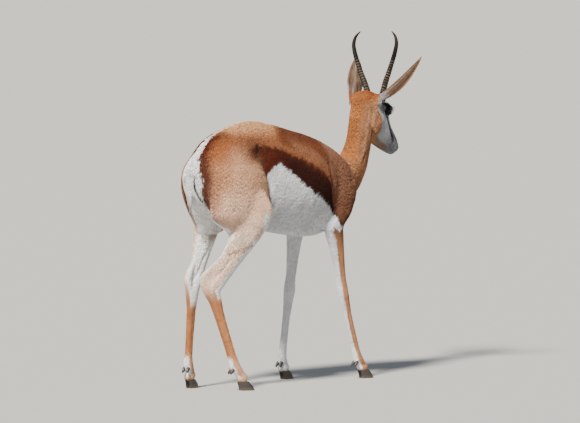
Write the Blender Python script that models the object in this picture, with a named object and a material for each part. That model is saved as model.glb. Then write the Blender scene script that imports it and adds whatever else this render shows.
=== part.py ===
# Springbok ewe, life size, standing with an arched back and a raised, turned head.
# The body is lofted along its bones, fused into one hide, and parted by thin cuts into named solids.
# Metres. +X is the way the trunk faces, +Y is the animal's left, +Z is up, and the soles stand at Z = 0.
# The outline is that of the coat's tips: the skin lies a few millimetres inside.

import math

import bmesh
import bpy
from mathutils import Matrix, Vector
from mathutils.bvhtree import BVHTree

# Driving dimensions
HEAD_LENGTH = 0.2295  # poll to nose
HORN_RISE = 0.196
HORN_RADIUS = 0.0096
EAR_LENGTH = 0.175
EAR_WIDTH = 0.049
EAR_WALL = 0.0042
EYE_RADIUS = 0.0155
TAIL_LENGTH = 0.150
CLAW_LENGTH = 0.045
CLAW_WIDTH = 0.0138
CLAW_HEIGHT = 0.026

# How the meshes are made
CUT_GAP = 0.0004  # between neighbouring solids
VOXEL = 0.0036
BODY_TRIANGLES = 4000
FINE_HEAD = 0.0  # how much the head is spared when the mesh is thinned
STEPS = 4  # rings between two stations of a loft

# Joints of the four legs, in the walking order of the bones; left is +Y
HIND_RIGHT = {
    "hip": (-0.235, -0.064, 0.665),
    "stifle": (-0.152, -0.106, 0.520),
    "hock": (-0.311, -0.056, 0.300),
    "fetlock": (-0.246, -0.090, 0.072),
    "toe": (-0.194, -0.108, 0.0),
    "turn": -20,
}
HIND_LEFT = {
    "hip": (-0.235, 0.064, 0.665),
    "stifle": (-0.145, 0.104, 0.520),
    "hock": (-0.286, 0.046, 0.296),
    "fetlock": (-0.287, 0.063, 0.070),
    "toe": (-0.246, 0.075, 0.0),
    "turn": 12,
}
FORE_RIGHT = {
    "shoulder": (0.308, -0.066, 0.560),
    "elbow": (0.203, -0.074, 0.466),
    "knee": (0.241, -0.074, 0.264),
    "fetlock": (0.307, -0.076, 0.060),
    "toe": (0.355, -0.082, 0.0),
    "turn": -6,
}
FORE_LEFT = {
    "shoulder": (0.308, 0.066, 0.560),
    "elbow": (0.196, 0.076, 0.466),
    "knee": (0.166, 0.075, 0.267),
    "fetlock": (0.128, 0.071, 0.060),
    "toe": (0.166, 0.074, 0.0),
    "turn": 6,
}

# The head's own frame: origin at the poll, x to the nose, y to the animal's left, z to the brow
POLL = Vector((0.423, 0.012, 0.840))
HEAD_YAW, HEAD_PITCH, HEAD_ROLL = 5, 43, -2  # degrees: to the left, nose down, left side up
HEAD = (
    Matrix.Translation(POLL)
    @ Matrix.Rotation(math.radians(HEAD_YAW), 4, "Z")
    @ Matrix.Rotation(math.radians(HEAD_PITCH), 4, "Y")
    @ Matrix.Rotation(math.radians(HEAD_ROLL), 4, "X")
    @ Matrix.Scale(HEAD_LENGTH / 0.2125, 4)
)

FAWN = (0.42, 0.20, 0.09)
WHITE = (0.80, 0.78, 0.74)
DARK = (0.035, 0.028, 0.025)


def material(name, colour, roughness):
    found = bpy.data.materials.get(name)
    if found:
        return found
    made = bpy.data.materials.new(name)
    made.use_nodes = True
    shader = made.node_tree.nodes["Principled BSDF"]
    shader.inputs["Base Color"].default_value = (*colour, 1)
    shader.inputs["Roughness"].default_value = roughness
    shader.inputs["Metallic"].default_value = 0.0
    return made


def new_object(name, points, faces):
    """A mesh object with its faces pointing outwards."""
    mesh = bpy.data.meshes.new(name)
    mesh.from_pydata([tuple(p) for p in points], [], faces)
    edit = bmesh.new()
    edit.from_mesh(mesh)
    bmesh.ops.recalc_face_normals(edit, faces=edit.faces)
    edit.to_mesh(mesh)
    edit.free()
    made = bpy.data.objects.new(name, mesh)
    bpy.context.collection.objects.link(made)
    return made


def smooth_curve(stations, steps=STEPS):
    """Rows of numbers passed through a Catmull-Rom curve, with steps rows for each span."""
    rows = []
    last = len(stations) - 1
    for i in range(last):
        a, b, c, d = (stations[min(max(i + k, 0), last)] for k in (-1, 0, 1, 2))
        for step in range(steps):
            t = step / steps
            rows.append([
                q + t * (r - p) / 2 + t * t * (2 * p - 5 * q + 4 * r - s) / 2
                + t ** 3 * (3 * q - p - 3 * r + s) / 2
                for p, q, r, s in zip(a, b, c, d)
            ])
    rows.append(list(stations[-1]))
    return rows


def bridge_rings(name, rings, folded=False):
    """A closed tube through rings of equal length. Each end is a fan or, on a folded wall, a strip across it."""
    sides = len(rings[0])
    points = [p for ring in rings for p in ring]
    faces = []
    for r in range(len(rings) - 1):
        for s in range(sides):
            a, b = r * sides + s, r * sides + (s + 1) % sides
            faces.append((a, b, b + sides, a + sides))
    for ring, start in ((rings[0], 0), (rings[-1], (len(rings) - 1) * sides)):
        if folded:
            faces += [
                (start + s, start + s + 1, start + sides - 2 - s, start + sides - 1 - s)
                for s in range(sides // 2 - 1)
            ]
            continue
        hub = len(points)
        points.append(sum(ring, Vector()) / sides)
        faces += [(start + s, start + (s + 1) % sides, hub) for s in range(sides)]
    return new_object(name, points, faces)


def loft(name, stations, turn=0, sides=24, peak=1.0, frame=None, steps=STEPS, facing=None):
    """A tube through stations of (x, y, z, front, back, side): half sizes ahead of, behind and beside its line.

    On an upright limb, front is towards the heading given by turn. On a level body it is upwards, and it stays
    on the same side of the line when the line turns. With facing, every section has that front and stays parallel.
    A peak over 1 narrows the front of each section to a ridge."""
    rows = smooth_curve(stations, steps)
    heading = Vector((math.cos(math.radians(turn)), math.sin(math.radians(turn)), 0))
    rings = []
    front = None
    for i, row in enumerate(rows):
        before, after = rows[max(i - 1, 0)], rows[min(i + 1, len(rows) - 1)]
        along = (Vector(after[:3]) - Vector(before[:3])).normalized()
        side = Vector((-heading.y, heading.x, 0))
        side = (side - along * side.dot(along)).normalized()
        guide = front or (heading if abs(along.dot(heading)) < 0.85 else Vector((0, 0, 1)))
        front = along.cross(side)
        front = front if front.dot(guide) > 0 else -front
        if facing:
            front, side = Vector(facing), Vector((-heading.y, heading.x, 0))
        ring = []
        for s in range(sides):
            angle = 2 * math.pi * s / sides
            ahead, beside = math.cos(angle), math.sin(angle)
            reach = row[3] if ahead > 0 else row[4]
            width = row[5] * abs(beside) ** (peak if ahead > 0 else 1.0)
            ring.append(
                Vector(row[:3]) + front * ahead * reach + side * math.copysign(width, beside)
            )
        rings.append(ring)
    made = bridge_rings(name, rings)
    if frame:
        made.data.transform(frame)
    return made


def ellipsoid(name, centre, radii, turn=(0, 0, 0), frame=None, rounds=14):
    """A ball stretched to three radii and turned by degrees about X, Y and Z."""
    mesh = bpy.data.meshes.new(name)
    edit = bmesh.new()
    bmesh.ops.create_uvsphere(edit, u_segments=2 * rounds, v_segments=rounds, radius=1.0)
    edit.to_mesh(mesh)
    edit.free()
    made = bpy.data.objects.new(name, mesh)
    bpy.context.collection.objects.link(made)
    place = Matrix.Translation(Vector(centre))
    for degrees, axis in zip(turn[::-1], "ZYX"):
        place = place @ Matrix.Rotation(math.radians(degrees), 4, axis)
    made.data.transform((frame or Matrix()) @ place @ Matrix.Diagonal((*radii, 1)))
    return made


def between(a, b, share, out=(0, 0, 0)):
    return Vector(a).lerp(Vector(b), share) + Vector(out)


# The trunk, from the root of the tail to the breast
def trunk():
    # x, top, bottom, half width, height of the widest level as a share
    sections = [
        (-0.345, 0.664, 0.585, 0.022, 0.55),
        (-0.330, 0.680, 0.560, 0.043, 0.55),
        (-0.296, 0.713, 0.530, 0.062, 0.55),
        (-0.260, 0.746, 0.510, 0.074, 0.55),
        (-0.205, 0.768, 0.495, 0.082, 0.56),
        (-0.145, 0.784, 0.482, 0.092, 0.56),
        (-0.088, 0.789, 0.470, 0.101, 0.52),
        (-0.030, 0.783, 0.458, 0.107, 0.48),
        (0.035, 0.768, 0.446, 0.110, 0.46),
        (0.096, 0.753, 0.438, 0.109, 0.46),
        (0.155, 0.739, 0.433, 0.101, 0.47),
        (0.210, 0.720, 0.440, 0.087, 0.48),
        (0.260, 0.697, 0.468, 0.074, 0.50),
        (0.300, 0.668, 0.502, 0.062, 0.50),
        (0.336, 0.634, 0.533, 0.046, 0.50),
        (0.360, 0.606, 0.564, 0.025, 0.50),
    ]
    stations = []
    for x, top, bottom, width, share in sections:
        middle = bottom + (top - bottom) * share
        stations.append((x, 0, middle, top - middle, middle - bottom, width))
    return loft("trunk_mass", stations, peak=1.12, sides=36, facing=(0, 0, 1))


def neck():
    stations = [
        (0.262, 0.000, 0.588, 0.080, 0.080, 0.058),
        (0.312, 0.000, 0.604, 0.070, 0.072, 0.055),
        (0.352, 0.000, 0.634, 0.052, 0.060, 0.046),
        (0.376, 0.001, 0.668, 0.043, 0.052, 0.0395),
        (0.393, 0.003, 0.706, 0.040, 0.047, 0.0365),
        (0.405, 0.006, 0.748, 0.042, 0.046, 0.0345),
        (0.416, 0.009, 0.786, 0.043, 0.045, 0.0345),
        (0.426, 0.011, 0.812, 0.040, 0.041, 0.0340),
        (0.438, 0.012, 0.838, 0.030, 0.034, 0.0300),
    ]
    return loft("neck_mass", stations, turn=6)


def haunch(side, name):
    """Rump, hip and thigh of one side, by level sections."""
    # z, x, half length, distance from the midline, half width
    sections = [
        (0.745, -0.166, 0.034, 0.040, 0.022),
        (0.722, -0.174, 0.062, 0.046, 0.033),
        (0.692, -0.186, 0.088, 0.049, 0.043),
        (0.655, -0.198, 0.109, 0.052, 0.050),
        (0.620, -0.198, 0.115, 0.055, 0.054),
    ]
    # The right thigh is bunched over its bent knee, the left one is drawn out
    if side < 0:
        sections += [
            (0.580, -0.196, 0.119, 0.058, 0.055),
            (0.545, -0.194, 0.119, 0.061, 0.054),
            (0.512, -0.203, 0.112, 0.063, 0.049),
            (0.490, -0.206, 0.080, 0.064, 0.041),
            (0.468, -0.204, 0.044, 0.066, 0.031),
            (0.446, -0.206, 0.028, 0.068, 0.024),
        ]
    else:
        sections += [
            (0.580, -0.194, 0.112, 0.058, 0.054),
            (0.545, -0.186, 0.104, 0.060, 0.052),
            (0.512, -0.182, 0.088, 0.062, 0.046),
            (0.484, -0.184, 0.064, 0.065, 0.038),
            (0.458, -0.190, 0.044, 0.067, 0.030),
        ]
    stations = [(x, side * y, z, a, a, b) for z, x, a, y, b in sections]
    return loft(name, stations, sides=28, facing=(1, 0, 0))


def hip_bone(side, name):
    return ellipsoid(name, (-0.160, side * 0.070, 0.718), (0.036, 0.018, 0.024), (0, 20, 0))


def hind_leg(joints, name):
    stifle, hock, fetlock, toe = (Vector(joints[k]) for k in ("stifle", "hock", "fetlock", "toe"))
    heading = Vector((math.cos(math.radians(joints["turn"])), math.sin(math.radians(joints["turn"])), 0))
    coronet = between(fetlock, toe, 0.56, (0, 0, 0.002))
    shank = [
        (between(stifle, hock, -0.04), 0.033, 0.044, 0.026),
        (between(stifle, hock, 0.09), 0.040, 0.053, 0.0355),
        (between(stifle, hock, 0.25), 0.041, 0.046, 0.033),
        (between(stifle, hock, 0.48, heading * -0.002), 0.036, 0.037, 0.026),
        (between(stifle, hock, 0.70), 0.030, 0.030, 0.0200),
        (between(stifle, hock, 0.88), 0.027, 0.028, 0.0185),
        (hock, 0.0275, 0.022, 0.0195),
        (between(hock, fetlock, 0.14), 0.0220, 0.0185, 0.0160),
        (between(hock, fetlock, 0.30), 0.0170, 0.0165, 0.0122),
        (between(hock, fetlock, 0.55), 0.0150, 0.0155, 0.0106),
        (between(hock, fetlock, 0.82), 0.0138, 0.0145, 0.0106),
        (between(hock, fetlock, 0.97), 0.0160, 0.0170, 0.0136),
        (between(fetlock, toe, 0.14), 0.0155, 0.0170, 0.0145),
        (between(fetlock, toe, 0.34), 0.0128, 0.0135, 0.0130),
        (coronet, 0.0150, 0.0150, 0.0155),
    ]
    stations = [(*place, front, back, side) for place, front, back, side in shank]
    leg = loft(name, stations, turn=joints["turn"], sides=20)
    # The knee rises into the thigh without a step
    inward = Vector((0, math.copysign(1, -stifle.y), 0))
    knee = [
        (*(stifle + inward * 0.036 + Vector((-0.030, 0, 0.100))), 0.040, 0.040, 0.020),
        (*(stifle + inward * 0.020 + Vector((-0.018, 0, 0.060))), 0.046, 0.044, 0.026),
        (*(stifle + inward * 0.007 + Vector((-0.008, 0, 0.026))), 0.045, 0.046, 0.032),
        (*(stifle + inward * 0.002 + Vector((0.000, 0, -0.004))), 0.041, 0.046, 0.033),
        (*(stifle + inward * 0.002 + Vector((-0.010, 0, -0.030))), 0.034, 0.040, 0.029),
    ]
    # The heel bone stands up behind the hock, where the great tendon ends
    down = (fetlock - hock).normalized()
    tip = hock - heading * 0.027 + Vector((0, 0, 0.036))
    heel = [
        (*(tip + (stifle - tip) * 0.34), 0.016, 0.004, 0.0090),
        (*(tip + (stifle - tip) * 0.16), 0.020, 0.007, 0.0080),
        (*tip, 0.0200, 0.0100, 0.0100),
        (*(hock - heading * 0.020 + Vector((0, 0, 0.002))), 0.0150, 0.0100, 0.0125),
        (*(hock - heading * 0.010 + down * 0.035), 0.0120, 0.0090, 0.0110),
        (*(hock - heading * 0.004 + down * 0.075), 0.0090, 0.0080, 0.0092),
    ]
    return [
        leg, loft(name + "_knee", knee, turn=joints["turn"], sides=20, facing=tuple(heading)),
        loft(name + "_heel", heel, turn=joints["turn"], sides=14), coronet_band(joints, name),
    ]


def shoulder(joints, name):
    """Blade, upper arm and elbow of one side."""
    side = math.copysign(1, joints["elbow"][1])
    point, elbow = Vector(joints["shoulder"]), Vector(joints["elbow"])
    stations = [
        (0.200, side * 0.032, 0.690, 0.026, 0.036, 0.018),
        (0.218, side * 0.045, 0.660, 0.038, 0.052, 0.025),
        (0.242, side * 0.055, 0.618, 0.050, 0.066, 0.029),
        (0.254, side * 0.061, 0.572, 0.054, 0.072, 0.033),
        (*between(point, elbow, 0.50, (-0.010, 0, -0.002)), 0.023, 0.056, 0.033),
        (*between(point, elbow, 0.92, (0.000, 0, 0)), 0.022, 0.038, 0.029),
        (*(elbow + Vector((0.004, 0, -0.035))), 0.023, 0.027, 0.023),
    ]
    return [
        loft(name, stations, turn=0, sides=20),
        ellipsoid(name + "_point", point - Vector((0.028, side * 0.009, -0.006)), (0.030, 0.026, 0.038)),
    ]


def fore_leg(joints, name):
    elbow, knee, fetlock, toe = (Vector(joints[k]) for k in ("elbow", "knee", "fetlock", "toe"))
    coronet = between(fetlock, toe, 0.54, (0, 0, 0.002))
    shank = [
        (between(elbow, knee, -0.10, (-0.004, 0, 0)), 0.026, 0.036, 0.028),
        (between(elbow, knee, 0.08), 0.026, 0.034, 0.026),
        (between(elbow, knee, 0.28), 0.0235, 0.026, 0.0215),
        (between(elbow, knee, 0.55), 0.0190, 0.0195, 0.0165),
        (between(elbow, knee, 0.80), 0.0165, 0.0170, 0.0142),
        (between(elbow, knee, 0.94), 0.0180, 0.0185, 0.0165),
        (between(knee, fetlock, 0.05), 0.0180, 0.0180, 0.0165),
        (between(knee, fetlock, 0.16), 0.0155, 0.0160, 0.0135),
        (between(knee, fetlock, 0.35), 0.0128, 0.0140, 0.0108),
        (between(knee, fetlock, 0.60), 0.0120, 0.0135, 0.0103),
        (between(knee, fetlock, 0.84), 0.0122, 0.0140, 0.0108),
        (between(knee, fetlock, 0.98), 0.0150, 0.0165, 0.0138),
        (between(fetlock, toe, 0.14), 0.0148, 0.0160, 0.0142),
        (between(fetlock, toe, 0.34), 0.0122, 0.0130, 0.0128),
        (coronet, 0.0145, 0.0145, 0.0152),
    ]
    stations = [(*place, front, back, side) for place, front, back, side in shank]
    return [loft(name, stations, turn=joints["turn"], sides=20), coronet_band(joints, name)]


def coronet_band(joints, name):
    """The ring of hide that sits on the two claws."""
    turn = Matrix.Rotation(math.radians(joints["turn"]), 4, "Z")
    centre = Vector(joints["toe"]) + turn @ Vector((-0.0320, 0, 0.0310))
    return ellipsoid(name + "_coronet", centre, (0.0185, 0.0158, 0.0115), (0, 22, joints["turn"]))


def head():
    """Skull, cheeks and muzzle, in the head's own frame before HEAD scales and turns it."""
    # x, top, bottom, half width, height of the widest level as a share, how round its sides are
    sections = [
        (-0.022, 0.004, -0.026, 0.020, 0.5),
        (-0.008, 0.021, -0.042, 0.031, 0.5),
        (0.012, 0.0325, -0.053, 0.0370, 0.55),
        (0.034, 0.0435, -0.061, 0.0385, 0.58),
        (0.056, 0.0460, -0.067, 0.0375, 0.62),
        (0.078, 0.0425, -0.0705, 0.0350, 0.62),
        (0.100, 0.0370, -0.0715, 0.0310, 0.58),
        (0.122, 0.0315, -0.0670, 0.0265, 0.54),
        (0.144, 0.0270, -0.0580, 0.0230, 0.50),
        (0.166, 0.0228, -0.0490, 0.0205, 0.48),
        (0.184, 0.0190, -0.0415, 0.0205, 0.46),
        (0.198, 0.0150, -0.0350, 0.0190, 0.46),
        (0.208, 0.0090, -0.0290, 0.0155, 0.50),
        (0.2135, 0.0000, -0.0240, 0.0095, 0.50),
    ]
    stations = []
    for x, top, bottom, width, share in sections:
        middle = bottom + (top - bottom) * share
        stations.append((x, 0, middle, top - middle, middle - bottom, width))
    pieces = [loft("skull_mass", stations, sides=28, frame=HEAD)]
    for side, name in ((1, "left"), (-1, "right")):
        pieces += [
            ellipsoid("brow_" + name, (0.076, side * 0.0280, 0.028), (0.0235, 0.0165, 0.0175), frame=HEAD),
            ellipsoid("cheek_" + name, (0.062, side * 0.0240, -0.032), (0.036, 0.0135, 0.029), (0, 25, 0), frame=HEAD),
            ellipsoid("ear_root_" + name, (0.022, side * 0.0370, 0.012), (0.016, 0.0130, 0.018), frame=HEAD),
            ellipsoid("horn_root_" + name, (0.0400, side * 0.0225, 0.0390), (0.013, 0.011, 0.010), frame=HEAD),
            ellipsoid("lip_" + name, (0.188, side * 0.0090, -0.017), (0.020, 0.0125, 0.016), frame=HEAD),
        ]
    return pieces


def breast():
    """The keel of the chest between the shoulders."""
    return ellipsoid("breast", (0.298, 0, 0.538), (0.032, 0.034, 0.074), (0, 34, 0))


def udder():
    pieces = [ellipsoid("udder_mass", (-0.118, 0, 0.484), (0.050, 0.044, 0.034), (0, -8, 0))]
    for side, name in ((1, "left"), (-1, "right")):
        teat = [
            (-0.110, side * 0.014, 0.466, 0.012, 0.012, 0.011),
            (-0.104, side * 0.0155, 0.445, 0.0070, 0.0070, 0.0062),
            (-0.101, side * 0.0160, 0.430, 0.0050, 0.0050, 0.0048),
        ]
        pieces.append(loft("teat_" + name, teat, sides=10))
    return pieces


# Each ear stands on its own root: base, tip and the way its hollow faces, in the head's frame before scaling, then its
# share of the full width, how far it bows backwards (or forwards, below zero) and its share of the full length
EARS = {
    "ear_left": {
        "base": (0.022, 0.047, 0.010), "tip": (0.0120, 0.1000, 0.1540), "open": (0.62, 0.62, 0.49),
        "narrow": 1.0, "bow": 1.0, "long": 1.0,
    },
    "ear_right": {
        "base": (0.026, -0.037, 0.018), "tip": (-0.0200, -0.1654, 0.1328), "open": (0.80, 0.10, 0.0),
        "narrow": 0.78, "bow": -0.6, "long": 1.07,
    },
}


def ear(name):
    """A cupped leaf, nearly a tube at its root, with a wall of even thickness."""
    shape = EARS[name]
    base, tip, opening = (Vector(shape[k]) for k in ("base", "tip", "open"))
    along = (tip - base).normalized()
    face = (opening - along * opening.dot(along)).normalized()
    across = along.cross(face)
    scale = HEAD_LENGTH / 0.2125
    # share of the length, share of the full width, degrees that the wall wraps, bend backwards
    sections = [
        (-0.06, 0.56, 250, 0.0),
        (0.05, 0.62, 235, 0.0),
        (0.20, 0.82, 195, 0.012),
        (0.38, 1.00, 160, 0.020),
        (0.56, 0.96, 135, 0.020),
        (0.74, 0.74, 115, 0.012),
        (0.88, 0.42, 100, 0.003),
        (0.96, 0.18, 90, -0.004),
        (1.00, 0.06, 80, -0.008),
    ]
    rings = []
    for share, width, wrap, bend in smooth_curve(sections, 1):
        half = math.radians(wrap) / 2
        chord = EAR_WIDTH * shape["narrow"] * width / scale
        radius = chord / 2 / math.sin(min(half, math.pi / 2))
        wall = min(EAR_WALL / scale, chord * 0.45)
        centre = base + along * (EAR_LENGTH * shape["long"] / scale) * share + face * (radius - bend * shape["bow"] * 0.5 - 0.010)
        outer, inner = [], []
        for k in range(7):
            angle = half * (k / 3 - 1)
            ray = across * math.sin(angle) - face * math.cos(angle)
            outer.append(centre + ray * radius)
            inner.append(centre + ray * (radius - wall * (1 - 0.45 * abs(k / 3 - 1))))
        rings.append(outer + inner[::-1])
    made = bridge_rings(name, rings, folded=True)
    made.data.transform(HEAD)
    return made


def horn(side, name):
    """A lyre: out from the brow, upright, then in and forward at the tip."""
    scale = HEAD_LENGTH / 0.2125
    # share of the rise, outward reach, forward lean, share of the base radius
    sections = [
        (-0.07, 0.0235, 0.004, 1.04),
        (0.02, 0.0265, 0.002, 1.02),
        (0.20, 0.0385, 0.001, 0.96),
        (0.36, 0.0520, 0.001, 0.87),
        (0.52, 0.0645, 0.002, 0.77),
        (0.68, 0.0755, 0.003, 0.68),
        (0.81, 0.0800, 0.005, 0.58),
        (0.92, 0.0740, 0.008, 0.42),
        (1.00, 0.0590, 0.011, 0.15),
    ]
    pitch = math.radians(HEAD_PITCH)
    up = Vector((-math.sin(pitch), 0, math.cos(pitch)))
    ahead = Vector((math.cos(pitch), 0, math.sin(pitch)))
    root = Vector((0.0420, 0, 0.0450))
    stations = []
    for share, out, lean, radius in sections:
        place = root + (up * HORN_RISE * share + ahead * lean) / scale + Vector((0, side * out / scale, 0))
        r = HORN_RADIUS * radius / scale
        stations.append((*place, r * 1.12, r * 1.12, r))
    rows = smooth_curve(stations, 2)
    ring_count = 8
    shapes = []
    for i, row in enumerate(rows):
        along = (Vector(rows[min(i + 1, len(rows) - 1)][:3]) - Vector(rows[max(i - 1, 0)][:3])).normalized()
        beside = (Vector((0, 1, 0)) - along * along.y).normalized()
        front = along.cross(beside)
        shapes.append([
            Vector(row[:3])
            + front * row[3] * math.cos(2 * math.pi * s / ring_count)
            + beside * row[5] * math.sin(2 * math.pi * s / ring_count)
            for s in range(ring_count)
        ])
    made = bridge_rings(name, shapes)
    made.data.transform(HEAD)
    return made


def eye(side, name):
    return ellipsoid(
        name, (0.0780, side * 0.0335, 0.0240), (EYE_RADIUS * 0.2125 / HEAD_LENGTH,) * 3,
        frame=HEAD, rounds=6,
    )


def tail():
    """Flat and held close between the buttocks."""
    stations = [
        (-0.312, 0, 0.678, 0.010, 0.010, 0.013),
        (-0.334, 0, 0.664, 0.011, 0.011, 0.0155),
        (-0.3420, 0, 0.640, 0.010, 0.010, 0.0160),
        (-0.3480, 0, 0.610, 0.0085, 0.0085, 0.0150),
        (-0.3480, 0, 0.580, 0.0070, 0.0070, 0.0130),
        (-0.3450, 0, 0.555, 0.0045, 0.0045, 0.0090),
        (-0.3420, 0, 0.682 - TAIL_LENGTH, 0.002, 0.002, 0.004),
    ]
    return loft("tail", stations, sides=10, steps=2)


def claw_outline(share, length, width):
    """Half a turn of a pointed leaf: share 0 at the toe, 1 at the heel."""
    return Vector((length * (0.60 - share), width / 2 * math.sin(math.pi * share ** 0.62) ** 0.8))


def hoof(joints, inner, name):
    """One of the two claws of a foot, with a flat sole at Z = 0."""
    toe = Vector(joints["toe"])
    turn = Matrix.Rotation(math.radians(joints["turn"] + (2 if inner else -2) * (1 if toe.y < 0 else -1)), 4, "Z")
    outward = math.copysign(1, toe.y) * (-1 if inner else 1)
    offset = outward * (CLAW_WIDTH / 2 + 0.0007)
    # height, length, width, how far the section stands back
    levels = [
        (0.0, 1.00, 1.00, 0.0),
        (0.013, 0.92, 1.03, 0.0045),
        (CLAW_HEIGHT, 0.74, 0.96, 0.012),
    ]
    rings = []
    for height, longer, wider, back in levels:
        half = [claw_outline(k / 5, CLAW_LENGTH * longer, CLAW_WIDTH * wider) for k in range(6)]
        ring = [(p.x, p.y) for p in half] + [(p.x, -p.y) for p in half[-2:0:-1]]
        rings.append([
            toe + turn @ Vector((x - back - CLAW_LENGTH * 0.44, y + offset, height)) for x, y in ring
        ])
    return bridge_rings(name, rings)


def dewclaw(joints, inner, name):
    """A small horny nub behind the fetlock, pointing down and back."""
    fetlock = Vector(joints["fetlock"])
    heading = Vector((math.cos(math.radians(joints["turn"])), math.sin(math.radians(joints["turn"])), 0))
    across = Vector((-heading.y, heading.x, 0)) * (0.0066 if (inner == (fetlock.y < 0)) else -0.0066)
    start = fetlock - heading * 0.008 + across - Vector((0, 0, 0.008))
    end = fetlock - heading * 0.0195 + across * 1.2 - Vector((0, 0, 0.0225))
    stations = [
        (*start, 0.0050, 0.0050, 0.0046),
        (*between(start, end, 0.75), 0.0044, 0.0048, 0.0042),
        (*end, 0.0018, 0.0018, 0.0018),
    ]
    return loft(name, stations, turn=joints["turn"], sides=6, steps=1)


def bake(obj):
    """Makes what the modifiers give the object's own mesh."""
    graph = bpy.context.evaluated_depsgraph_get()
    graph.update()
    mesh = bpy.data.meshes.new_from_object(obj.evaluated_get(graph))
    obj.modifiers.clear()
    obj.data = mesh
    return obj


def join(name, pieces):
    """One object that holds the meshes of all the pieces."""
    edit = bmesh.new()
    for piece in pieces:
        edit.from_mesh(piece.data)
        bpy.data.objects.remove(piece)
    mesh = bpy.data.meshes.new(name)
    edit.to_mesh(mesh)
    edit.free()
    made = bpy.data.objects.new(name, mesh)
    bpy.context.collection.objects.link(made)
    return made


def softness(place):
    """How far a point of the hide may relax: the trunk fully, the head and the lower legs hardly."""
    along_head = (HEAD.inverted() @ place).x
    if along_head > 0.0:
        return 0.14 if along_head > 0.06 else 0.40
    return min(max((place.z - 0.40) / 0.10, 0.10), 1.0)


def fuse(pieces):
    """Joins the masses into one hide by voxels, relaxes the creases between them and thins the mesh."""
    hide = join("hide", pieces)
    remesh = hide.modifiers.new("fuse", "REMESH")
    remesh.mode = "VOXEL"
    remesh.voxel_size = VOXEL
    bake(hide)
    soft = hide.vertex_groups.new(name="soft")
    fine = hide.vertex_groups.new(name="fine")
    for vertex in hide.data.vertices:
        weight = softness(vertex.co)
        soft.add([vertex.index], weight, "REPLACE")
        fine.add([vertex.index], 1.0 if weight > 0.14 else 0.6, "REPLACE")
    relax = hide.modifiers.new("relax", "SMOOTH")
    relax.factor = 0.5
    relax.iterations = 26
    relax.vertex_group = "soft"
    thin = hide.modifiers.new("thin", "DECIMATE")
    thin.ratio = BODY_TRIANGLES / (2 * len(hide.data.polygons))
    thin.vertex_group = "fine"
    thin.vertex_group_factor = FINE_HEAD
    bake(hide)
    hide.vertex_groups.clear()
    keep_largest(hide)
    return hide


def swollen(obj, name):
    """A hidden copy that stands CUT_GAP proud, to cut room for a neighbour."""
    copy = bpy.data.objects.new(name, obj.data.copy())
    bpy.context.collection.objects.link(copy)
    proud = copy.modifiers.new("proud", "DISPLACE")
    proud.strength = CUT_GAP
    proud.mid_level = 0.0
    bake(copy)
    copy.hide_render = True
    copy.display_type = "WIRE"
    return copy


def cut(obj, cutter):
    boolean = obj.modifiers.new("cut", "BOOLEAN")
    boolean.operation = "DIFFERENCE"
    boolean.solver = "EXACT"
    boolean.object = cutter
    bake(obj)


def keep_largest(obj):
    """Drops the crumbs that a cut leaves."""
    edit = bmesh.new()
    edit.from_mesh(obj.data)
    best = max(islands(edit), key=len)
    chosen = {vertex.index for vertex in best}
    bmesh.ops.delete(edit, geom=[v for v in edit.verts if v.index not in chosen], context="VERTS")
    edit.to_mesh(obj.data)
    edit.free()


def islands(edit):
    """The connected groups of vertices in a bmesh."""
    edit.verts.ensure_lookup_table()
    seen, groups = set(), []
    for first in edit.verts:
        if first.index in seen:
            continue
        group, queue = [], [first]
        seen.add(first.index)
        while queue:
            vertex = queue.pop()
            group.append(vertex)
            for edge in vertex.link_edges:
                other = edge.other_vert(vertex)
                if other.index not in seen:
                    seen.add(other.index)
                    queue.append(other)
        groups.append(group)
    return groups


def slab(place, normal, reach, slope_reach=None):
    """A thin plate across a limb, reaching this far each way along the body and down its own slope."""
    mesh = bpy.data.meshes.new("slab")
    edit = bmesh.new()
    bmesh.ops.create_cube(edit, size=2.0)
    edit.to_mesh(mesh)
    edit.free()
    turn = Vector((0, 0, 1)).rotation_difference(Vector(normal)).to_matrix().to_4x4()
    size = Matrix.Diagonal((reach, slope_reach or reach, CUT_GAP / 2, 1))
    mesh.transform(Matrix.Translation(Vector(place)) @ turn @ size)
    made = bpy.data.objects.new("slab", mesh)
    bpy.context.collection.objects.link(made)
    return made


def leg_cuts(joints, hind):
    """Plates at the top of the leg, below the hock or knee, and above the fetlock."""
    middle = Vector(joints["hock" if hind else "knee"])
    fetlock = Vector(joints["fetlock"])
    side = math.copysign(1, fetlock.y)
    bone = (middle - fetlock).normalized()
    if hind:
        rise = math.radians(55)
        normal = (0.22, -side * math.sin(rise), math.cos(rise))
        top = slab((-0.228, side * 0.085, 0.560), normal, 0.150, 0.112)
    else:
        rise = math.radians(38)
        normal = (0, -side * math.sin(rise), math.cos(rise))
        top = slab((0.222, side * 0.074, 0.447), normal, 0.062)
    return [
        top,
        slab(between(middle, fetlock, 0.20), bone, 0.034),
        slab(between(middle, fetlock, 0.88), bone, 0.026),
    ]


def touching(one, other):
    """Whether the surfaces of two objects cross."""
    trees = []
    for obj in (one, other):
        edit = bmesh.new()
        edit.from_mesh(obj.data)
        trees.append(BVHTree.FromBMesh(edit))
        edit.free()
    return bool(trees[0].overlap(trees[1]))


def separate(obj):
    """One new object for each connected body of this one, without the crumbs."""
    edit = bmesh.new()
    edit.from_mesh(obj.data)
    edit.faces.ensure_lookup_table()
    made = []
    for group in islands(edit):
        if len(group) < 12:
            continue
        order = {vertex: k for k, vertex in enumerate(group)}
        faces = [[order[v] for v in face.verts] for face in edit.faces if face.verts[0] in order]
        made.append(new_object("piece", [v.co.copy() for v in group], faces))
    edit.free()
    bpy.data.objects.remove(obj)
    return made


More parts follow.
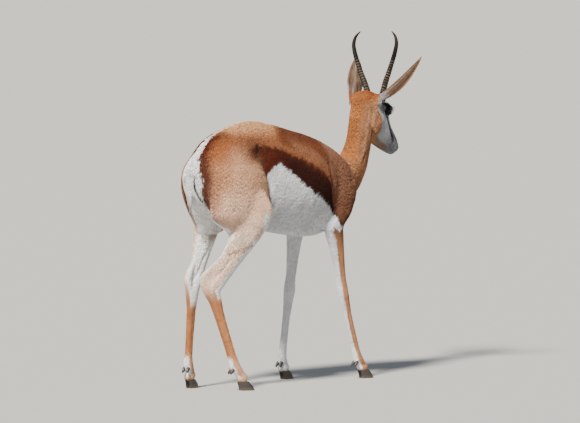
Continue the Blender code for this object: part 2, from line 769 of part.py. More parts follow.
def part_hide(hide):
    """Cuts the hide across at the joints and names each part by where it lies."""
    plates = [
        slab((0.345, 0, 0.636), (0.70, 0, 0.72), 0.115),
        slab((0.4025, 0.010, 0.7575), (0.857, 0.06, 0.515), 0.098),
    ]
    for joints, hind in LEGS.values():
        plates += leg_cuts(joints, hind)
    pieces = [hide]
    for plate in plates:
        for piece in list(pieces):
            if touching(piece, plate):
                cut(piece, plate)
                pieces.remove(piece)
                pieces += separate(piece)
        bpy.data.objects.remove(plate)
    for piece in pieces:
        points = [v.co for v in piece.data.vertices]
        piece.name = part_name(sum(points, Vector()) / len(points), points)


def part_name(centre, points):
    """The name of the part of the hide whose points have this centre."""
    if centre.x > 0.33 and centre.z > 0.66:
        return "head" if max(p.x for p in points) > 0.50 else "neck"
    if max(abs(p.y) for p in points) - min(abs(p.y) for p in points) > 0.08 and centre.z > 0.5 and len(points) > 600:
        return "trunk"
    side = "left" if centre.y > 0 else "right"
    end = "hind" if centre.x < 0 else "fore"
    if centre.z > 0.30:
        level = "leg"
    elif centre.z > 0.09:
        level = "cannon"
    else:
        level = "foot"
    return f"{end}_{level}_{side}"


LEGS = {
    "hind_right": (HIND_RIGHT, True),
    "hind_left": (HIND_LEFT, True),
    "fore_right": (FORE_RIGHT, False),
    "fore_left": (FORE_LEFT, False),
}

for old in list(bpy.data.objects):
    bpy.data.objects.remove(old)

# The hide
masses = [trunk(), neck(), breast(), *head(), *udder()]
for title, (bones, is_hind) in LEGS.items():
    if is_hind:
        outward = math.copysign(1, bones["hip"][1])
        masses += [haunch(outward, title + "_haunch"), hip_bone(outward, title + "_hip"), *hind_leg(bones, title)]
    else:
        masses += [*shoulder(bones, title + "_shoulder"), *fore_leg(bones, title)]
body = fuse(masses)

# Separate pieces, each trimmed where it meets the hide
eyes = [eye(1, "eye_left"), eye(-1, "eye_right")]
for ball in eyes:
    socket = swollen(ball, ball.name + "_socket")
    cut(body, socket)
    bpy.data.objects.remove(socket)
room = swollen(body, "hide_room")
trimmed = [ear("ear_left"), ear("ear_right"), horn(1, "horn_left"), horn(-1, "horn_right"), tail()]
for title, (bones, is_hind) in LEGS.items():
    for inner in (True, False):
        ending = title + ("_inner" if inner else "_outer")
        trimmed += [hoof(bones, inner, "hoof_" + ending), dewclaw(bones, inner, "dewclaw_" + ending)]
for piece in trimmed:
    cut(piece, room)
    keep_largest(piece)
bpy.data.objects.remove(room)
part_hide(body)

# Finishes, and the frame: the origin under the middle of the whole model
looks = {
    "horn": ("horn_sheath", DARK, 0.45),
    "hoof": ("hoof_horn", DARK, 0.5),
    "dewc": ("hoof_horn", DARK, 0.5),
    "eye_": ("eye_dark", (0.01, 0.006, 0.004), 0.08),
    "tail": ("coat_white", WHITE, 0.8),
}
shown = [o for o in bpy.data.objects if not o.hide_render]
corners = [o.matrix_world @ v.co for o in shown for v in o.data.vertices]
middle = Vector([(max(c[i] for c in corners) + min(c[i] for c in corners)) / 2 for i in (0, 1)] + [0])
for part in shown:
    part.data.transform(Matrix.Translation(-middle))
    part.data.materials.clear()
    part.data.materials.append(material(*looks.get(part.name[:4], ("coat_fawn", FAWN, 0.8))))
    part.data.shade_smooth()
    part.data.set_sharp_from_angle(angle=math.radians(50))
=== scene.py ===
import math
import bpy
import numpy as np
from mathutils import Matrix, Vector
from mathutils.bvhtree import BVHTree


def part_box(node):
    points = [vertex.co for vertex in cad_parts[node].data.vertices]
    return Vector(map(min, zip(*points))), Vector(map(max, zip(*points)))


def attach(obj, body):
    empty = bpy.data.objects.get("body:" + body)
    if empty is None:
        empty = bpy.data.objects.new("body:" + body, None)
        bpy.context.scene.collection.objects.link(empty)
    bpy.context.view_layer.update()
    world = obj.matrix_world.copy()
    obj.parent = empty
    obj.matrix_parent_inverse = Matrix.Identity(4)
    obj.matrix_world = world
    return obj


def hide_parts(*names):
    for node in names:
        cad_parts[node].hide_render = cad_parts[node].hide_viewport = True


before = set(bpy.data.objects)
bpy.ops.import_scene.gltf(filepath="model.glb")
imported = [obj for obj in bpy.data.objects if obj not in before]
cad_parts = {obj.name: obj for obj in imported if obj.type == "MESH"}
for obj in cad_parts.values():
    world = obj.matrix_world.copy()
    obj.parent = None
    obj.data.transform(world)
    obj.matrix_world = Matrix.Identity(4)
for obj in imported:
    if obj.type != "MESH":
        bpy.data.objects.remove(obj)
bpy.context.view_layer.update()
bpy.ops.object.select_all(action="DESELECT")
print("frame loaded")

# The head's own frame: x from the poll to the nose, y to the left, z to the brow
headPose = {"poll": (0.423, 0.012, 0.840), "yaw": 5, "pitch": 43, "roll": -2, "scale": 1.08,
            "eye": (0.0780, 0.0335, 0.0240), "eyeRadius": 0.0155}
headPlace = (
    Matrix.Translation(headPose["poll"])
    @ Matrix.Rotation(math.radians(headPose["yaw"]), 4, "Z")
    @ Matrix.Rotation(math.radians(headPose["pitch"]), 4, "Y")
    @ Matrix.Rotation(math.radians(headPose["roll"]), 4, "X")
    @ Matrix.Scale(headPose["scale"], 4)
)
# Places below are given from the point under the middle of the trunk: the right eye shows where that is
eyeX, eyeY, eyeZ = headPose["eye"]
toFigure = headPlace @ Vector((eyeX, -eyeY, eyeZ)) - sum(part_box("eye_right"), Vector()) / 2
shift = np.array(toFigure)

# Joints of the legs from the hip or elbow down, and the way each foot points
legBones = {
    "hindRight": {"path": [(-0.200, -0.060, 0.700), (-0.152, -0.106, 0.520), (-0.311, -0.056, 0.300),
                           (-0.246, -0.090, 0.072), (-0.194, -0.108, 0.0)], "turn": -20},
    "hindLeft": {"path": [(-0.200, 0.060, 0.700), (-0.145, 0.104, 0.520), (-0.286, 0.046, 0.296),
                          (-0.287, 0.063, 0.070), (-0.246, 0.075, 0.0)], "turn": 12},
    "foreRight": {"path": [(0.235, -0.060, 0.640), (0.203, -0.074, 0.466), (0.241, -0.074, 0.264),
                           (0.307, -0.076, 0.060), (0.355, -0.082, 0.0)], "turn": -6},
    "foreLeft": {"path": [(0.235, 0.060, 0.640), (0.196, 0.076, 0.466), (0.166, 0.075, 0.267),
                          (0.128, 0.071, 0.060), (0.166, 0.074, 0.0)], "turn": 6},
}
regionNames = ["trunk", "neck", "head", "tail", "hindRight", "hindLeft", "foreRight", "foreLeft", "ear"]


def ramp(value, low, high):
    t = np.clip((value - low) / (high - low), 0, 1)
    return t * t * (3 - 2 * t)


def blended(colour, target, amount):
    return colour + (np.asarray(target) - colour) * np.asarray(amount)[:, None]


def unit(rows):
    return rows / np.maximum(np.linalg.norm(rows, axis=1), 1e-9)[:, None]


# Rows of head coordinates for rows of figure coordinates
def headSpace(points):
    back = np.array(headPlace.inverted())
    return points @ back[:3, :3].T + back[:3, 3]


# Distance of each row to a line through several points, and how far along it the nearest place lies
def nearLine(points, line):
    best = np.full(len(points), 1e9)
    along = np.zeros(len(points))
    line = np.asarray(line, float)
    for k in range(len(line) - 1):
        a, d = line[k], line[k + 1] - line[k]
        t = np.clip((points - a) @ d / (d @ d), 0, 1)
        gap = np.linalg.norm(points - a - t[:, None] * d, axis=1)
        closer = gap < best
        best[closer] = gap[closer]
        along[closer] = (k + t)[closer] / (len(line) - 1)
    return best, along


# Smooth noise from about -1 to 1, made of a few slanted waves
def ripple(points, size, seed=0):
    dice = np.random.default_rng(seed)
    total = np.zeros(len(points))
    for k in range(7):
        way = dice.normal(size=3)
        way *= 2 * math.pi / (size * (0.6 + 0.9 * dice.random())) / np.linalg.norm(way)
        total += np.sin(points @ way + dice.random() * 6.28 + 1.3 * np.sin(points @ way[::-1] * 0.7))
    return total / 4.2


# Rows of numbers passed through a curve, with this many rows for each span
def throughCurve(stations, steps):
    rows = np.asarray(stations, float)
    last = len(rows) - 1
    made = []
    for i in range(last):
        p, q, r, s = (rows[min(max(i + k, 0), last)] for k in (-1, 0, 1, 2))
        for t in np.arange(steps) / steps:
            made.append(q + t * (r - p) / 2 + t * t * (2 * p - 5 * q + 4 * r - s) / 2
                        + t ** 3 * (3 * q - p - 3 * r + s) / 2)
    return np.array(made + [rows[-1]])


def selectOnly(*objects):
    bpy.ops.object.select_all(action="DESELECT")
    for one in objects:
        one.select_set(True)
    bpy.context.view_layer.objects.active = objects[0]


def applyModifier(obj, kind, **settings):
    selectOnly(obj)
    made = obj.modifiers.new(kind.lower(), kind)
    for key, value in settings.items():
        setattr(made, key, value)
    bpy.ops.object.modifier_apply(modifier=made.name)


def pointsOf(mesh):
    rows = np.empty(len(mesh.vertices) * 3)
    mesh.vertices.foreach_get("co", rows)
    return rows.reshape(-1, 3)


def normalsOf(mesh):
    rows = np.empty(len(mesh.vertices) * 3)
    mesh.vertex_normals.foreach_get("vector", rows)
    return rows.reshape(-1, 3)


def setPoints(mesh, rows):
    mesh.vertices.foreach_set("co", np.ascontiguousarray(rows, dtype=np.float32).ravel())
    mesh.update()


def edgesOf(mesh):
    rows = np.empty(len(mesh.edges) * 2, dtype=np.int64)
    mesh.edges.foreach_get("vertices", rows)
    return rows.reshape(-1, 2)


def setColour(mesh, name, colour):
    made = mesh.color_attributes.new(name, "FLOAT_COLOR", "POINT")
    rows = np.ones((len(colour), 4), dtype=np.float32)
    rows[:, :3] = colour
    made.data.foreach_set("color", rows.ravel())


# Rows relaxed towards their neighbours this many times, by each one's own weight
def averaged(rows, edges, weight, rounds):
    count = len(rows)
    a, b = edges[:, 0], edges[:, 1]
    valence = np.maximum(np.bincount(a, minlength=count) + np.bincount(b, minlength=count), 1)
    rows = rows.copy()
    for _ in range(rounds):
        for axis in range(rows.shape[1]):
            column = rows[:, axis]
            mean = (np.bincount(a, column[b], count) + np.bincount(b, column[a], count)) / valence
            rows[:, axis] = column + weight * (mean - column)
    return rows


# Where the faces of a mesh in edit mode are picked by a test on each one
def pickFaces(obj, test):
    bpy.ops.mesh.select_mode(type="FACE")
    bpy.ops.mesh.select_all(action="DESELECT")
    bpy.ops.object.mode_set(mode="OBJECT")
    obj.data.polygons.foreach_set("select", [bool(test(face)) for face in obj.data.polygons])
    bpy.ops.object.mode_set(mode="EDIT")


# Materials
def nodeTools(name):
    made = bpy.data.materials.new(name)
    made.use_nodes = True
    tree = made.node_tree
    shader = tree.nodes["Principled BSDF"]
    place = tree.nodes.new("ShaderNodeTexCoord").outputs["Object"]

    def add(kind, inputs, output=0, **settings):
        node = tree.nodes.new(kind)
        for key, value in settings.items():
            setattr(node, key, value)
        for key, value in inputs.items():
            if isinstance(value, bpy.types.NodeSocket):
                tree.links.new(value, node.inputs[key])
            else:
                node.inputs[key].default_value = value
        return node.outputs[output]

    def into(socket, value):
        tree.links.new(value, shader.inputs[socket])

    return made, shader, place, add, into


def noiseAt(add, place, size, detail=3.0, rough=0.55, stretch=(1, 1, 1)):
    spot = add("ShaderNodeMapping", {"Vector": place, "Scale": stretch})
    return add("ShaderNodeTexNoise", {"Vector": spot, "Scale": size, "Detail": detail, "Roughness": rough})


def toned(add, colour, value, low, high):
    factor = add("ShaderNodeMapRange", {"Value": value, "From Min": 0.3, "From Max": 0.7, "To Min": low, "To Max": high})
    return add("ShaderNodeVectorMath", {0: colour, "Scale": factor}, operation="SCALE")


coatLook = {"rough": 0.7, "sheen": 0.05, "specular": 0.12}


def coatMaterial(name, forSkin):
    made, shader, place, add, into = nodeTools(name)
    colour = add("ShaderNodeAttribute", {}, attribute_name="coatColour")
    broad = noiseAt(add, place, 26, 4)
    fine = noiseAt(add, place, 420 if forSkin else 260, 3, 0.6)
    colour = toned(add, colour, broad, 0.90, 1.10)
    colour = toned(add, colour, fine, 0.80 if forSkin else 0.90, 1.12 if forSkin else 1.08)
    into("Base Color", colour)
    shader.inputs["Roughness"].default_value = coatLook["rough"]
    shader.inputs["Sheen Weight"].default_value = coatLook["sheen"]
    shader.inputs["Sheen Roughness"].default_value = 0.4
    shader.inputs["Specular IOR Level"].default_value = coatLook["specular"]
    if forSkin:
        hair = noiseAt(add, place, 900, 2, 0.5, (0.5, 1, 0.6))
        into("Normal", add("ShaderNodeBump", {"Height": hair, "Strength": 0.35, "Distance": 0.0006}))
    return made


def hornMaterial():
    made, shader, place, add, into = nodeTools("ringedHorn")
    tone = add("ShaderNodeAttribute", {}, output=2, attribute_name="ringTone")
    # The ridges of the rings are painted tan, a painted highlight, over near-black horn.
    base = add("ShaderNodeMix", {0: tone, 6: (0.0045, 0.0035, 0.003, 1), 7: (0.17, 0.118, 0.080, 1)}, output=2,
               data_type="RGBA")
    grain = noiseAt(add, place, 700, 4, 0.6, (1, 1, 0.12))
    into("Base Color", toned(add, base, grain, 0.65, 1.35))
    rough = add("ShaderNodeMapRange", {"Value": grain, "From Min": 0.3, "From Max": 0.7, "To Min": 0.38, "To Max": 0.60})
    into("Roughness", rough)
    shader.inputs["Specular IOR Level"].default_value = 0.16
    into("Normal", add("ShaderNodeBump", {"Height": grain, "Strength": 0.35, "Distance": 0.0005}))
    return made


def hoofMaterial():
    made, shader, place, add, into = nodeTools("hoofHorn")
    tone = add("ShaderNodeAttribute", {}, output=2, attribute_name="ringTone")
    base = add("ShaderNodeMix", {0: tone, 6: (0.016, 0.013, 0.011, 1), 7: (0.060, 0.048, 0.038, 1)}, output=2,
               data_type="RGBA")
    grain = noiseAt(add, place, 900, 4, 0.6, (1, 1, 0.25))
    dust = noiseAt(add, place, 160, 5, 0.7)
    base = toned(add, base, grain, 0.7, 1.3)
    low = add("ShaderNodeSeparateXYZ", {0: place}, output=2)
    near = add("ShaderNodeMapRange", {"Value": low, "From Min": 0.012, "From Max": 0.0, "To Min": 0.0, "To Max": 0.55})
    amount = add("ShaderNodeMath", {0: near, 1: dust}, operation="MULTIPLY")
    into("Base Color", add("ShaderNodeMix", {0: amount, 6: base, 7: (0.24, 0.18, 0.13, 1)}, output=2, data_type="RGBA"))
    shader.inputs["Roughness"].default_value = 0.48
    into("Normal", add("ShaderNodeBump", {"Height": grain, "Strength": 0.3, "Distance": 0.0004}))
    return made


def eyeMaterial():
    made, shader, place, add, into = nodeTools("darkEye")
    colour = add("ShaderNodeAttribute", {}, attribute_name="eyeTone")
    grain = noiseAt(add, place, 1400, 3, 0.6)
    into("Base Color", toned(add, colour, grain, 0.75, 1.25))
    shader.inputs["Roughness"].default_value = 0.06
    shader.inputs["Coat Weight"].default_value = 1.0
    shader.inputs["Coat Roughness"].default_value = 0.02
    shader.inputs["IOR"].default_value = 1.38
    return made


def finish(obj, material, slot, *nodes):
    obj.data.materials.clear()
    obj.data.materials.append(material)
    if nodes:
        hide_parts(*nodes)
    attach(obj, "root")


# A closed tube: a filled circle is extruded level by level, then each level is drawn out to its own ring
def extrudedTube(name, rings):
    count = len(rings[0])
    bpy.ops.mesh.primitive_circle_add(vertices=count, radius=1, fill_type="NGON", location=(0, 0, 0))
    made = bpy.context.object
    made.name = made.data.name = name
    bpy.ops.object.mode_set(mode="EDIT")
    bpy.ops.mesh.select_all(action="SELECT")
    for _ in rings[1:]:
        bpy.ops.mesh.extrude_region_move(TRANSFORM_OT_translate={"value": (0, 0, 1)})
    bpy.ops.object.mode_set(mode="OBJECT")
    plain = pointsOf(made.data)
    level = np.rint(plain[:, 2]).astype(int)
    place = np.rint(np.arctan2(plain[:, 1], plain[:, 0]) / (2 * math.pi) * count).astype(int) % count
    setPoints(made.data, np.asarray(rings, float)[level, place])
    bpy.ops.object.mode_set(mode="EDIT")
    bpy.ops.mesh.select_all(action="SELECT")
    bpy.ops.mesh.normals_make_consistent(inside=False)
    bpy.ops.object.mode_set(mode="OBJECT")
    return made, level, place


# Horns: a lyre with raised rings on the lower half and smooth hooked tips
hornLook = {"rise": 0.196, "radius": 0.0096, "sides": 24, "steps": 13, "ringGap": 0.0076, "ringHeight": 0.0016,
            "ringEnd": 0.62}
hornStations = [
    # share of the rise, outward reach, forward lean, share of the base radius
    (-0.07, 0.0235, 0.004, 1.04), (0.02, 0.0265, 0.002, 1.02), (0.20, 0.0385, 0.001, 0.96), (0.36, 0.0520, 0.001, 0.87),
    (0.52, 0.0645, 0.002, 0.77), (0.68, 0.0755, 0.003, 0.68), (0.81, 0.0800, 0.005, 0.58), (0.92, 0.0740, 0.008, 0.42),
    (1.00, 0.0590, 0.011, 0.15),
]


def makeHorn(side, node, material):
    rows = np.array(throughCurve(hornStations, hornLook["steps"]))
    rows = np.vstack([rows[:1] - (0.045, 0, 0, 0), rows])  # rooted below the hair
    scale = headPose["scale"]
    pitch = math.radians(headPose["pitch"])
    up = np.array((-math.sin(pitch), 0, math.cos(pitch)))
    ahead = np.array((math.cos(pitch), 0, math.sin(pitch)))
    centres = np.array((0.0420, 0, 0.0450)) + (up * (hornLook["rise"] * rows[:, :1]) + ahead * rows[:, 2:3]) / scale
    centres[:, 1] += side * rows[:, 1] / scale
    rings, tones = [], []
    for i, (share, _, _, size) in enumerate(rows):
        along = Vector(centres[min(i + 1, len(rows) - 1)] - centres[max(i - 1, 0)]).normalized()
        beside = (Vector((0, 1, 0)) - along * along.y).normalized()
        front = along.cross(beside)
        length = share * hornLook["rise"]
        wave = 0.5 + 0.5 * math.cos(2 * math.pi * length / hornLook["ringGap"])
        fade = float(1 - ramp(share, hornLook["ringEnd"] - 0.12, hornLook["ringEnd"] + 0.04)) * float(ramp(share, -0.02, 0.05))
        ridge = wave ** 1.6 * fade
        radius = hornLook["radius"] * size / scale * 0.99 - hornLook["ringHeight"] / scale * 0.75 * fade
        ring = []
        for k in range(hornLook["sides"]):
            angle = 2 * math.pi * k / hornLook["sides"]
            rib = hornLook["ringHeight"] / scale * ridge * (1 + 0.45 * math.cos(angle + 0.4 * math.sin(3 * i)))
            r = max(radius + rib + 0.00012 * math.sin(5 * angle + 0.05 * i), 0.0003)
            ring.append(headPlace @ (Vector(centres[i]) + front * r * 1.10 * math.cos(angle) + beside * r * math.sin(angle)) - toFigure)
        rings.append(ring)
        # Painted highlight: the tops of the rings get a lighter tone.
        tones.append(0.03 + 0.75 * ridge ** 3.2 + 0.03 * math.sin(9 * share))
    horn, level, _ = extrudedTube(node, rings)
    tone = np.clip(np.array(tones)[level], 0, 1)
    setColour(horn.data, "ringTone", np.repeat(tone[:, None], 3, axis=1))
    selectOnly(horn)
    bpy.ops.object.shade_smooth_by_angle(angle=math.radians(60))
    finish(horn, material, "horn_sheath", node)


# Hooves and dewclaws
clawLook = {"length": 0.045, "width": 0.0138, "height": 0.026, "sides": 28, "levels": 16, "back": 0.0198, "gap": 0.0007}
clawLevels = [(0.0, 1.00, 1.00, 0.0), (0.013, 0.92, 1.03, 0.0045), (0.026, 0.74, 0.96, 0.012)]


def makeClaw(bone, inner, node, material):
    toe = Vector(bone["path"][-1])
    away = 1 if toe.y > 0 else -1
    turn = Matrix.Rotation(math.radians(bone["turn"] - (2 if inner else -2) * away), 4, "Z")
    offset = away * (-1 if inner else 1) * (clawLook["width"] / 2 + clawLook["gap"])
    half = clawLook["sides"] // 2
    heights = list(np.linspace(0, clawLook["height"], clawLook["levels"]))
    heights.insert(1, 0.0007)  # the rolled edge of the sole
    rings, tones = [], []
    for i, height in enumerate(heights):
        longer, wider, back = (np.interp(height, [r[0] for r in clawLevels], [r[c] for r in clawLevels]) for c in (1, 2, 3))
        line = 1 - 0.012 * (0.5 + 0.5 * math.sin(height / 0.0031 * 2 * math.pi)) * (i > 1)
        shrink = (0.972 if i == 0 else 1.0) * line
        ring = []
        for k in range(clawLook["sides"]):
            share = k / half if k <= half else (clawLook["sides"] - k) / half
            x = clawLook["length"] * longer * (0.60 - share)
            y = clawLook["width"] * wider / 2 * math.sin(math.pi * share ** 0.62) ** 0.8 * (1 if k <= half else -1)
            middle = clawLook["length"] * longer * 0.10
            spot = Vector((middle + (x - middle) * shrink - back - clawLook["back"], y * shrink + offset, height))
            ring.append(toe + turn @ spot - toFigure)
        rings.append(ring)
        tones.append(0.25 + 0.5 * height / clawLook["height"] + 0.25 * math.sin(height / 0.0031 * 2 * math.pi))
    claw, level, _ = extrudedTube(node, rings)
    setColour(claw.data, "ringTone", np.repeat(np.clip(np.array(tones)[level], 0, 1)[:, None], 3, axis=1))
    selectOnly(claw)
    bpy.ops.object.shade_smooth_by_angle(angle=math.radians(50))
    finish(claw, material, "hoof_horn", node)


def makeDewclaw(bone, inner, node, material):
    fetlock = Vector(bone["path"][3])
    turn = math.radians(bone["turn"])
    heading = Vector((math.cos(turn), math.sin(turn), 0))
    across = Vector((-heading.y, heading.x, 0)) * (0.0066 if (inner == (fetlock.y < 0)) else -0.0066)
    start = fetlock - heading * 0.008 + across - Vector((0, 0, 0.008))
    end = fetlock - heading * 0.0195 + across * 1.2 - Vector((0, 0, 0.0225))
    along = (end - start).normalized()
    beside = along.cross(Vector((0, 0, 1))).normalized()
    front = along.cross(beside)
    rings, tones = [], []
    for share, radius in throughCurve([(0, 0.0050), (0.35, 0.0048), (0.68, 0.0039), (0.88, 0.0026), (1.0, 0.0010)], 4):
        wave = math.sin(share * 30)
        rings.append([start.lerp(end, share) + (front * math.cos(a) * 1.05 + beside * math.sin(a)) * (radius - 0.0001 * wave)
                      - toFigure for a in np.arange(16) * math.pi / 8])
        tones.append(0.35 + 0.25 * wave)
    nub, level, _ = extrudedTube(node, rings)
    setColour(nub.data, "ringTone", np.repeat(np.clip(np.array(tones)[level], 0, 1)[:, None], 3, axis=1))
    selectOnly(nub)
    bpy.ops.object.shade_smooth_by_angle(angle=math.radians(60))
    finish(nub, material, "hoof_horn", node)


# Eyes: a ball with a raised cornea, brown iris and a wide level pupil, and the lids that frame it
eyeLook = {"look": (0.26, 1.0, 0.16), "opening": (54, 36), "corner": -16, "shell": 1.035, "cornea": 0.0009}


def eyeAxes(side):
    ax, ay, az = eyeLook["look"]
    look = Vector((ax, side * ay, az)).normalized()
    slant = math.radians(eyeLook["corner"])
    level = Vector((math.cos(slant), 0, math.sin(slant)))
    level = (level - look * level.dot(look)).normalized()  # from the back corner to the front one
    upper = look.cross(level) * (1 if side < 0 else -1)
    if upper.z < 0:
        upper = -upper
    return look, level, upper


def ballAt(name, side, radius, segments, rings):
    look, level, upper = eyeAxes(side)
    bpy.ops.mesh.primitive_uv_sphere_add(segments=segments, ring_count=rings, radius=radius, location=(0, 0, 0))
    made = bpy.context.object
    made.name = made.data.name = name
    plain = unit(pointsOf(made.data))
    axes = np.array([level, upper, look])
    centre = np.array((eyeX, side * eyeY, eyeZ))
    return made, plain, axes, centre


def toScene(inHead):
    place = np.array(headPlace)
    return inHead @ place[:3, :3].T + place[:3, 3] - shift


def makeEye(side, node, material):
    radius = headPose["eyeRadius"] / headPose["scale"]
    ball, plain, axes, centre = ballAt(node, side, radius, 96, 64)
    off = np.arccos(np.clip(plain[:, 2], -1, 1))
    bulge = eyeLook["cornea"] / headPose["scale"] * (1 - ramp(off, 0.25, 0.75))
    setPoints(ball.data, toScene(centre + (plain @ axes) * (radius * 0.985 + bulge - 0.0003)[:, None]))
    iris = 1 - ramp(off, 0.66, 0.74)
    pupil = 1 - ramp((np.abs(plain[:, 0]) / 0.40) ** 2.6 + (np.abs(plain[:, 1]) / 0.20) ** 2.6, 0.8, 1.2)
    pupil *= plain[:, 2] > 0
    angle = np.arctan2(plain[:, 1], plain[:, 0])
    colour = np.tile((0.060, 0.045, 0.040), (len(plain), 1))
    colour = blended(colour, (0.036, 0.017, 0.009), iris)
    colour *= (1 + 0.25 * iris * np.sin(angle * 37 + 3 * np.sin(angle * 11)))[:, None]
    colour = blended(colour, (0.004, 0.004, 0.005), pupil)
    setColour(ball.data, "eyeTone", colour)
    selectOnly(ball)
    bpy.ops.object.mode_set(mode="EDIT")
    bpy.ops.mesh.select_all(action="SELECT")
    bpy.ops.mesh.normals_make_consistent(inside=False)
    bpy.ops.object.mode_set(mode="OBJECT")
    bpy.ops.object.shade_smooth()
    finish(ball, material, "eye_dark", node)


# A lid is a thin shell round the ball with an almond-shaped opening
def makeLid(side):
    radius = headPose["eyeRadius"] * eyeLook["shell"] / headPose["scale"]
    lid, plain, axes, centre = ballAt("lid", side, radius, 64, 32)
    off = np.degrees(np.arccos(np.clip(plain[:, 2], -1, 1)))
    angle = np.arctan2(plain[:, 1], plain[:, 0])
    long, high = eyeLook["opening"]
    pointed = 1 - 0.07 * np.abs(np.sin(2 * angle)) ** 1.4
    edge = pointed / np.sqrt((np.cos(angle) / long) ** 2 + (np.sin(angle) / high) ** 2)
    opened = edge + (off - 22.5) / (105 - 22.5) * (105 - edge)  # rings from the opening's edge to behind the ball
    bend = np.radians(np.clip(opened, 0, 175))
    thick = 1 + 0.045 * np.exp(-((opened - edge) / 9) ** 2) - 0.03 * ramp(opened, 70, 105)
    ring = unit(np.c_[plain[:, :2], np.zeros(len(plain))] + np.array((1e-9, 0, 0)))
    shaped = ring * np.sin(bend)[:, None] + np.array((0, 0, 1)) * np.cos(bend)[:, None]
    setPoints(lid.data, toScene(centre + (shaped @ axes) * (radius * thick)[:, None]))
    selectOnly(lid)
    bpy.ops.object.mode_set(mode="EDIT")
    pickFaces(lid, lambda face: min(off[i] for i in face.vertices) < 22.4 or max(off[i] for i in face.vertices) > 106)
    bpy.ops.mesh.delete(type="FACE")
    bpy.ops.mesh.select_all(action="SELECT")
    bpy.ops.mesh.normals_make_consistent(inside=False)
    bpy.ops.object.mode_set(mode="OBJECT")
    applyModifier(lid, "SOLIDIFY", thickness=0.0011, offset=0.0)
    return lid


hornHorn, hoofHorn, darkEye = hornMaterial(), hoofMaterial(), eyeMaterial()
for side, name in ((1, "left"), (-1, "right")):
    makeHorn(side, "horn_" + name, hornHorn)
    makeEye(side, "eye_" + name, darkEye)
print("horns and eyes made")
for leg, node in (("hindRight", "hind_right"), ("hindLeft", "hind_left"), ("foreRight", "fore_right"), ("foreLeft", "fore_left")):
    for inner, word in ((True, "inner"), (False, "outer")):
        makeClaw(legBones[leg], inner, "hoof_" + node + "_" + word, hoofHorn)
        makeDewclaw(legBones[leg], inner, "dewclaw_" + node + "_" + word, hoofHorn)
print("hooves made")


# The skin: the flesh nodes fused, smoothed and drawn in by the coat's depth
skinLook = {"voxel": 0.0027, "rounds": 46, "triangles": 125000}


def fleshCopy():
    fleshNodes = [n for n in sorted(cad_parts) if not n.startswith(("horn", "eye", "hoof", "dewclaw", "ear"))]
    copies = []
    for name in fleshNodes:
        copies.append(bpy.data.objects.new("flesh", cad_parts[name].data.copy()))
        bpy.context.collection.objects.link(copies[-1])
    selectOnly(*copies)
    bpy.ops.object.join()
    made = bpy.context.object
    made.name = made.data.name = "skin"
    made.data.materials.clear()
    bpy.ops.object.mode_set(mode="EDIT")
    bpy.ops.mesh.select_all(action="SELECT")
    bpy.ops.mesh.remove_doubles(threshold=1e-6)
    bpy.ops.object.mode_set(mode="OBJECT")
    applyModifier(made, "DISPLACE", strength=0.0006, mid_level=0.0)
    applyModifier(made, "REMESH", mode="VOXEL", voxel_size=skinLook["voxel"])
    return made, fleshNodes


# The region of each row, from the nearest flesh node
def labelled(points, fleshNodes):
    corners, faces, owner = [], [], []
    regionOf = {"trunk": 0, "neck": 1, "head": 2, "tail": 3}
    for name in fleshNodes:
        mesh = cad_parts[name].data
        number = regionOf.get(name, 4 + 2 * ("fore" in name) + ("left" in name))
        start = len(corners)
        corners += [v.co.copy() for v in mesh.vertices]
        for face in mesh.polygons:
            faces.append([start + i for i in face.vertices])
            owner.append(number)
    tree = BVHTree.FromPolygons(corners, faces)
    return np.array([owner[tree.find_nearest(p)[2]] for p in points])


# Grooves and ridges pressed into the skin: line, half width, depth
bodyFolds = [
    ([(-0.150, 0.095, 0.700), (-0.122, 0.098, 0.655), (-0.102, 0.098, 0.615), (-0.096, 0.094, 0.575),
      (-0.104, 0.088, 0.535)], 0.0078, 0.0044),
    ([(-0.085, 0.104, 0.655), (-0.050, 0.107, 0.640), (-0.020, 0.108, 0.620)], 0.020, 0.0016),
    ([(-0.262, 0.080, 0.690), (-0.268, 0.098, 0.630), (-0.262, 0.108, 0.575), (-0.240, 0.112, 0.525)], 0.014, 0.0018),
    ([(-0.205, 0.096, 0.660), (-0.200, 0.112, 0.600), (-0.190, 0.126, 0.550)], 0.020, -0.0016),
    ([(-0.145, 0.070, 0.727), (-0.175, 0.078, 0.718), (-0.205, 0.082, 0.706)], 0.022, -0.0022),
    ([(-0.150, 0.080, 0.712), (-0.125, 0.086, 0.704), (-0.090, 0.092, 0.700)], 0.022, 0.0018),
    ([(0.180, 0.070, 0.690), (0.176, 0.092, 0.640), (0.180, 0.099, 0.580), (0.190, 0.097, 0.520),
      (0.198, 0.096, 0.480)], 0.0105, 0.0036),
    ([(0.205, 0.070, 0.690), (0.222, 0.088, 0.640), (0.238, 0.096, 0.585)], 0.013, -0.0026),
    ([(0.262, 0.060, 0.660), (0.275, 0.078, 0.610), (0.268, 0.090, 0.560)], 0.012, 0.0024),
    ([(0.262, 0.088, 0.600), (0.285, 0.075, 0.570), (0.262, 0.096, 0.530)], 0.016, -0.0020),
    ([(0.318, 0.050, 0.660), (0.300, 0.056, 0.630)], 0.012, 0.0026),
    ([(-0.190, 0.119, 0.440), (-0.217, 0.113, 0.421), (-0.233, 0.108, 0.415), (-0.251, 0.099, 0.411), (-0.268, 0.086, 0.408)], 0.0045, 0.0020),
    ([(-0.205, 0.114, 0.528), (-0.188, 0.117, 0.552)], 0.0040, 0.0014),
    ([(-0.214, 0.114, 0.536), (-0.202, 0.116, 0.554)], 0.0040, 0.0012),
    ([(-0.275, 0.102, 0.522), (-0.248, 0.106, 0.536), (-0.236, 0.108, 0.534)], 0.0042, 0.0013),
    ([(-0.262, 0.098, 0.506), (-0.232, 0.105, 0.500)], 0.0045, 0.0014),
    ([(-0.255, 0.096, 0.494), (-0.230, 0.104, 0.490)], 0.0045, 0.0014),
]
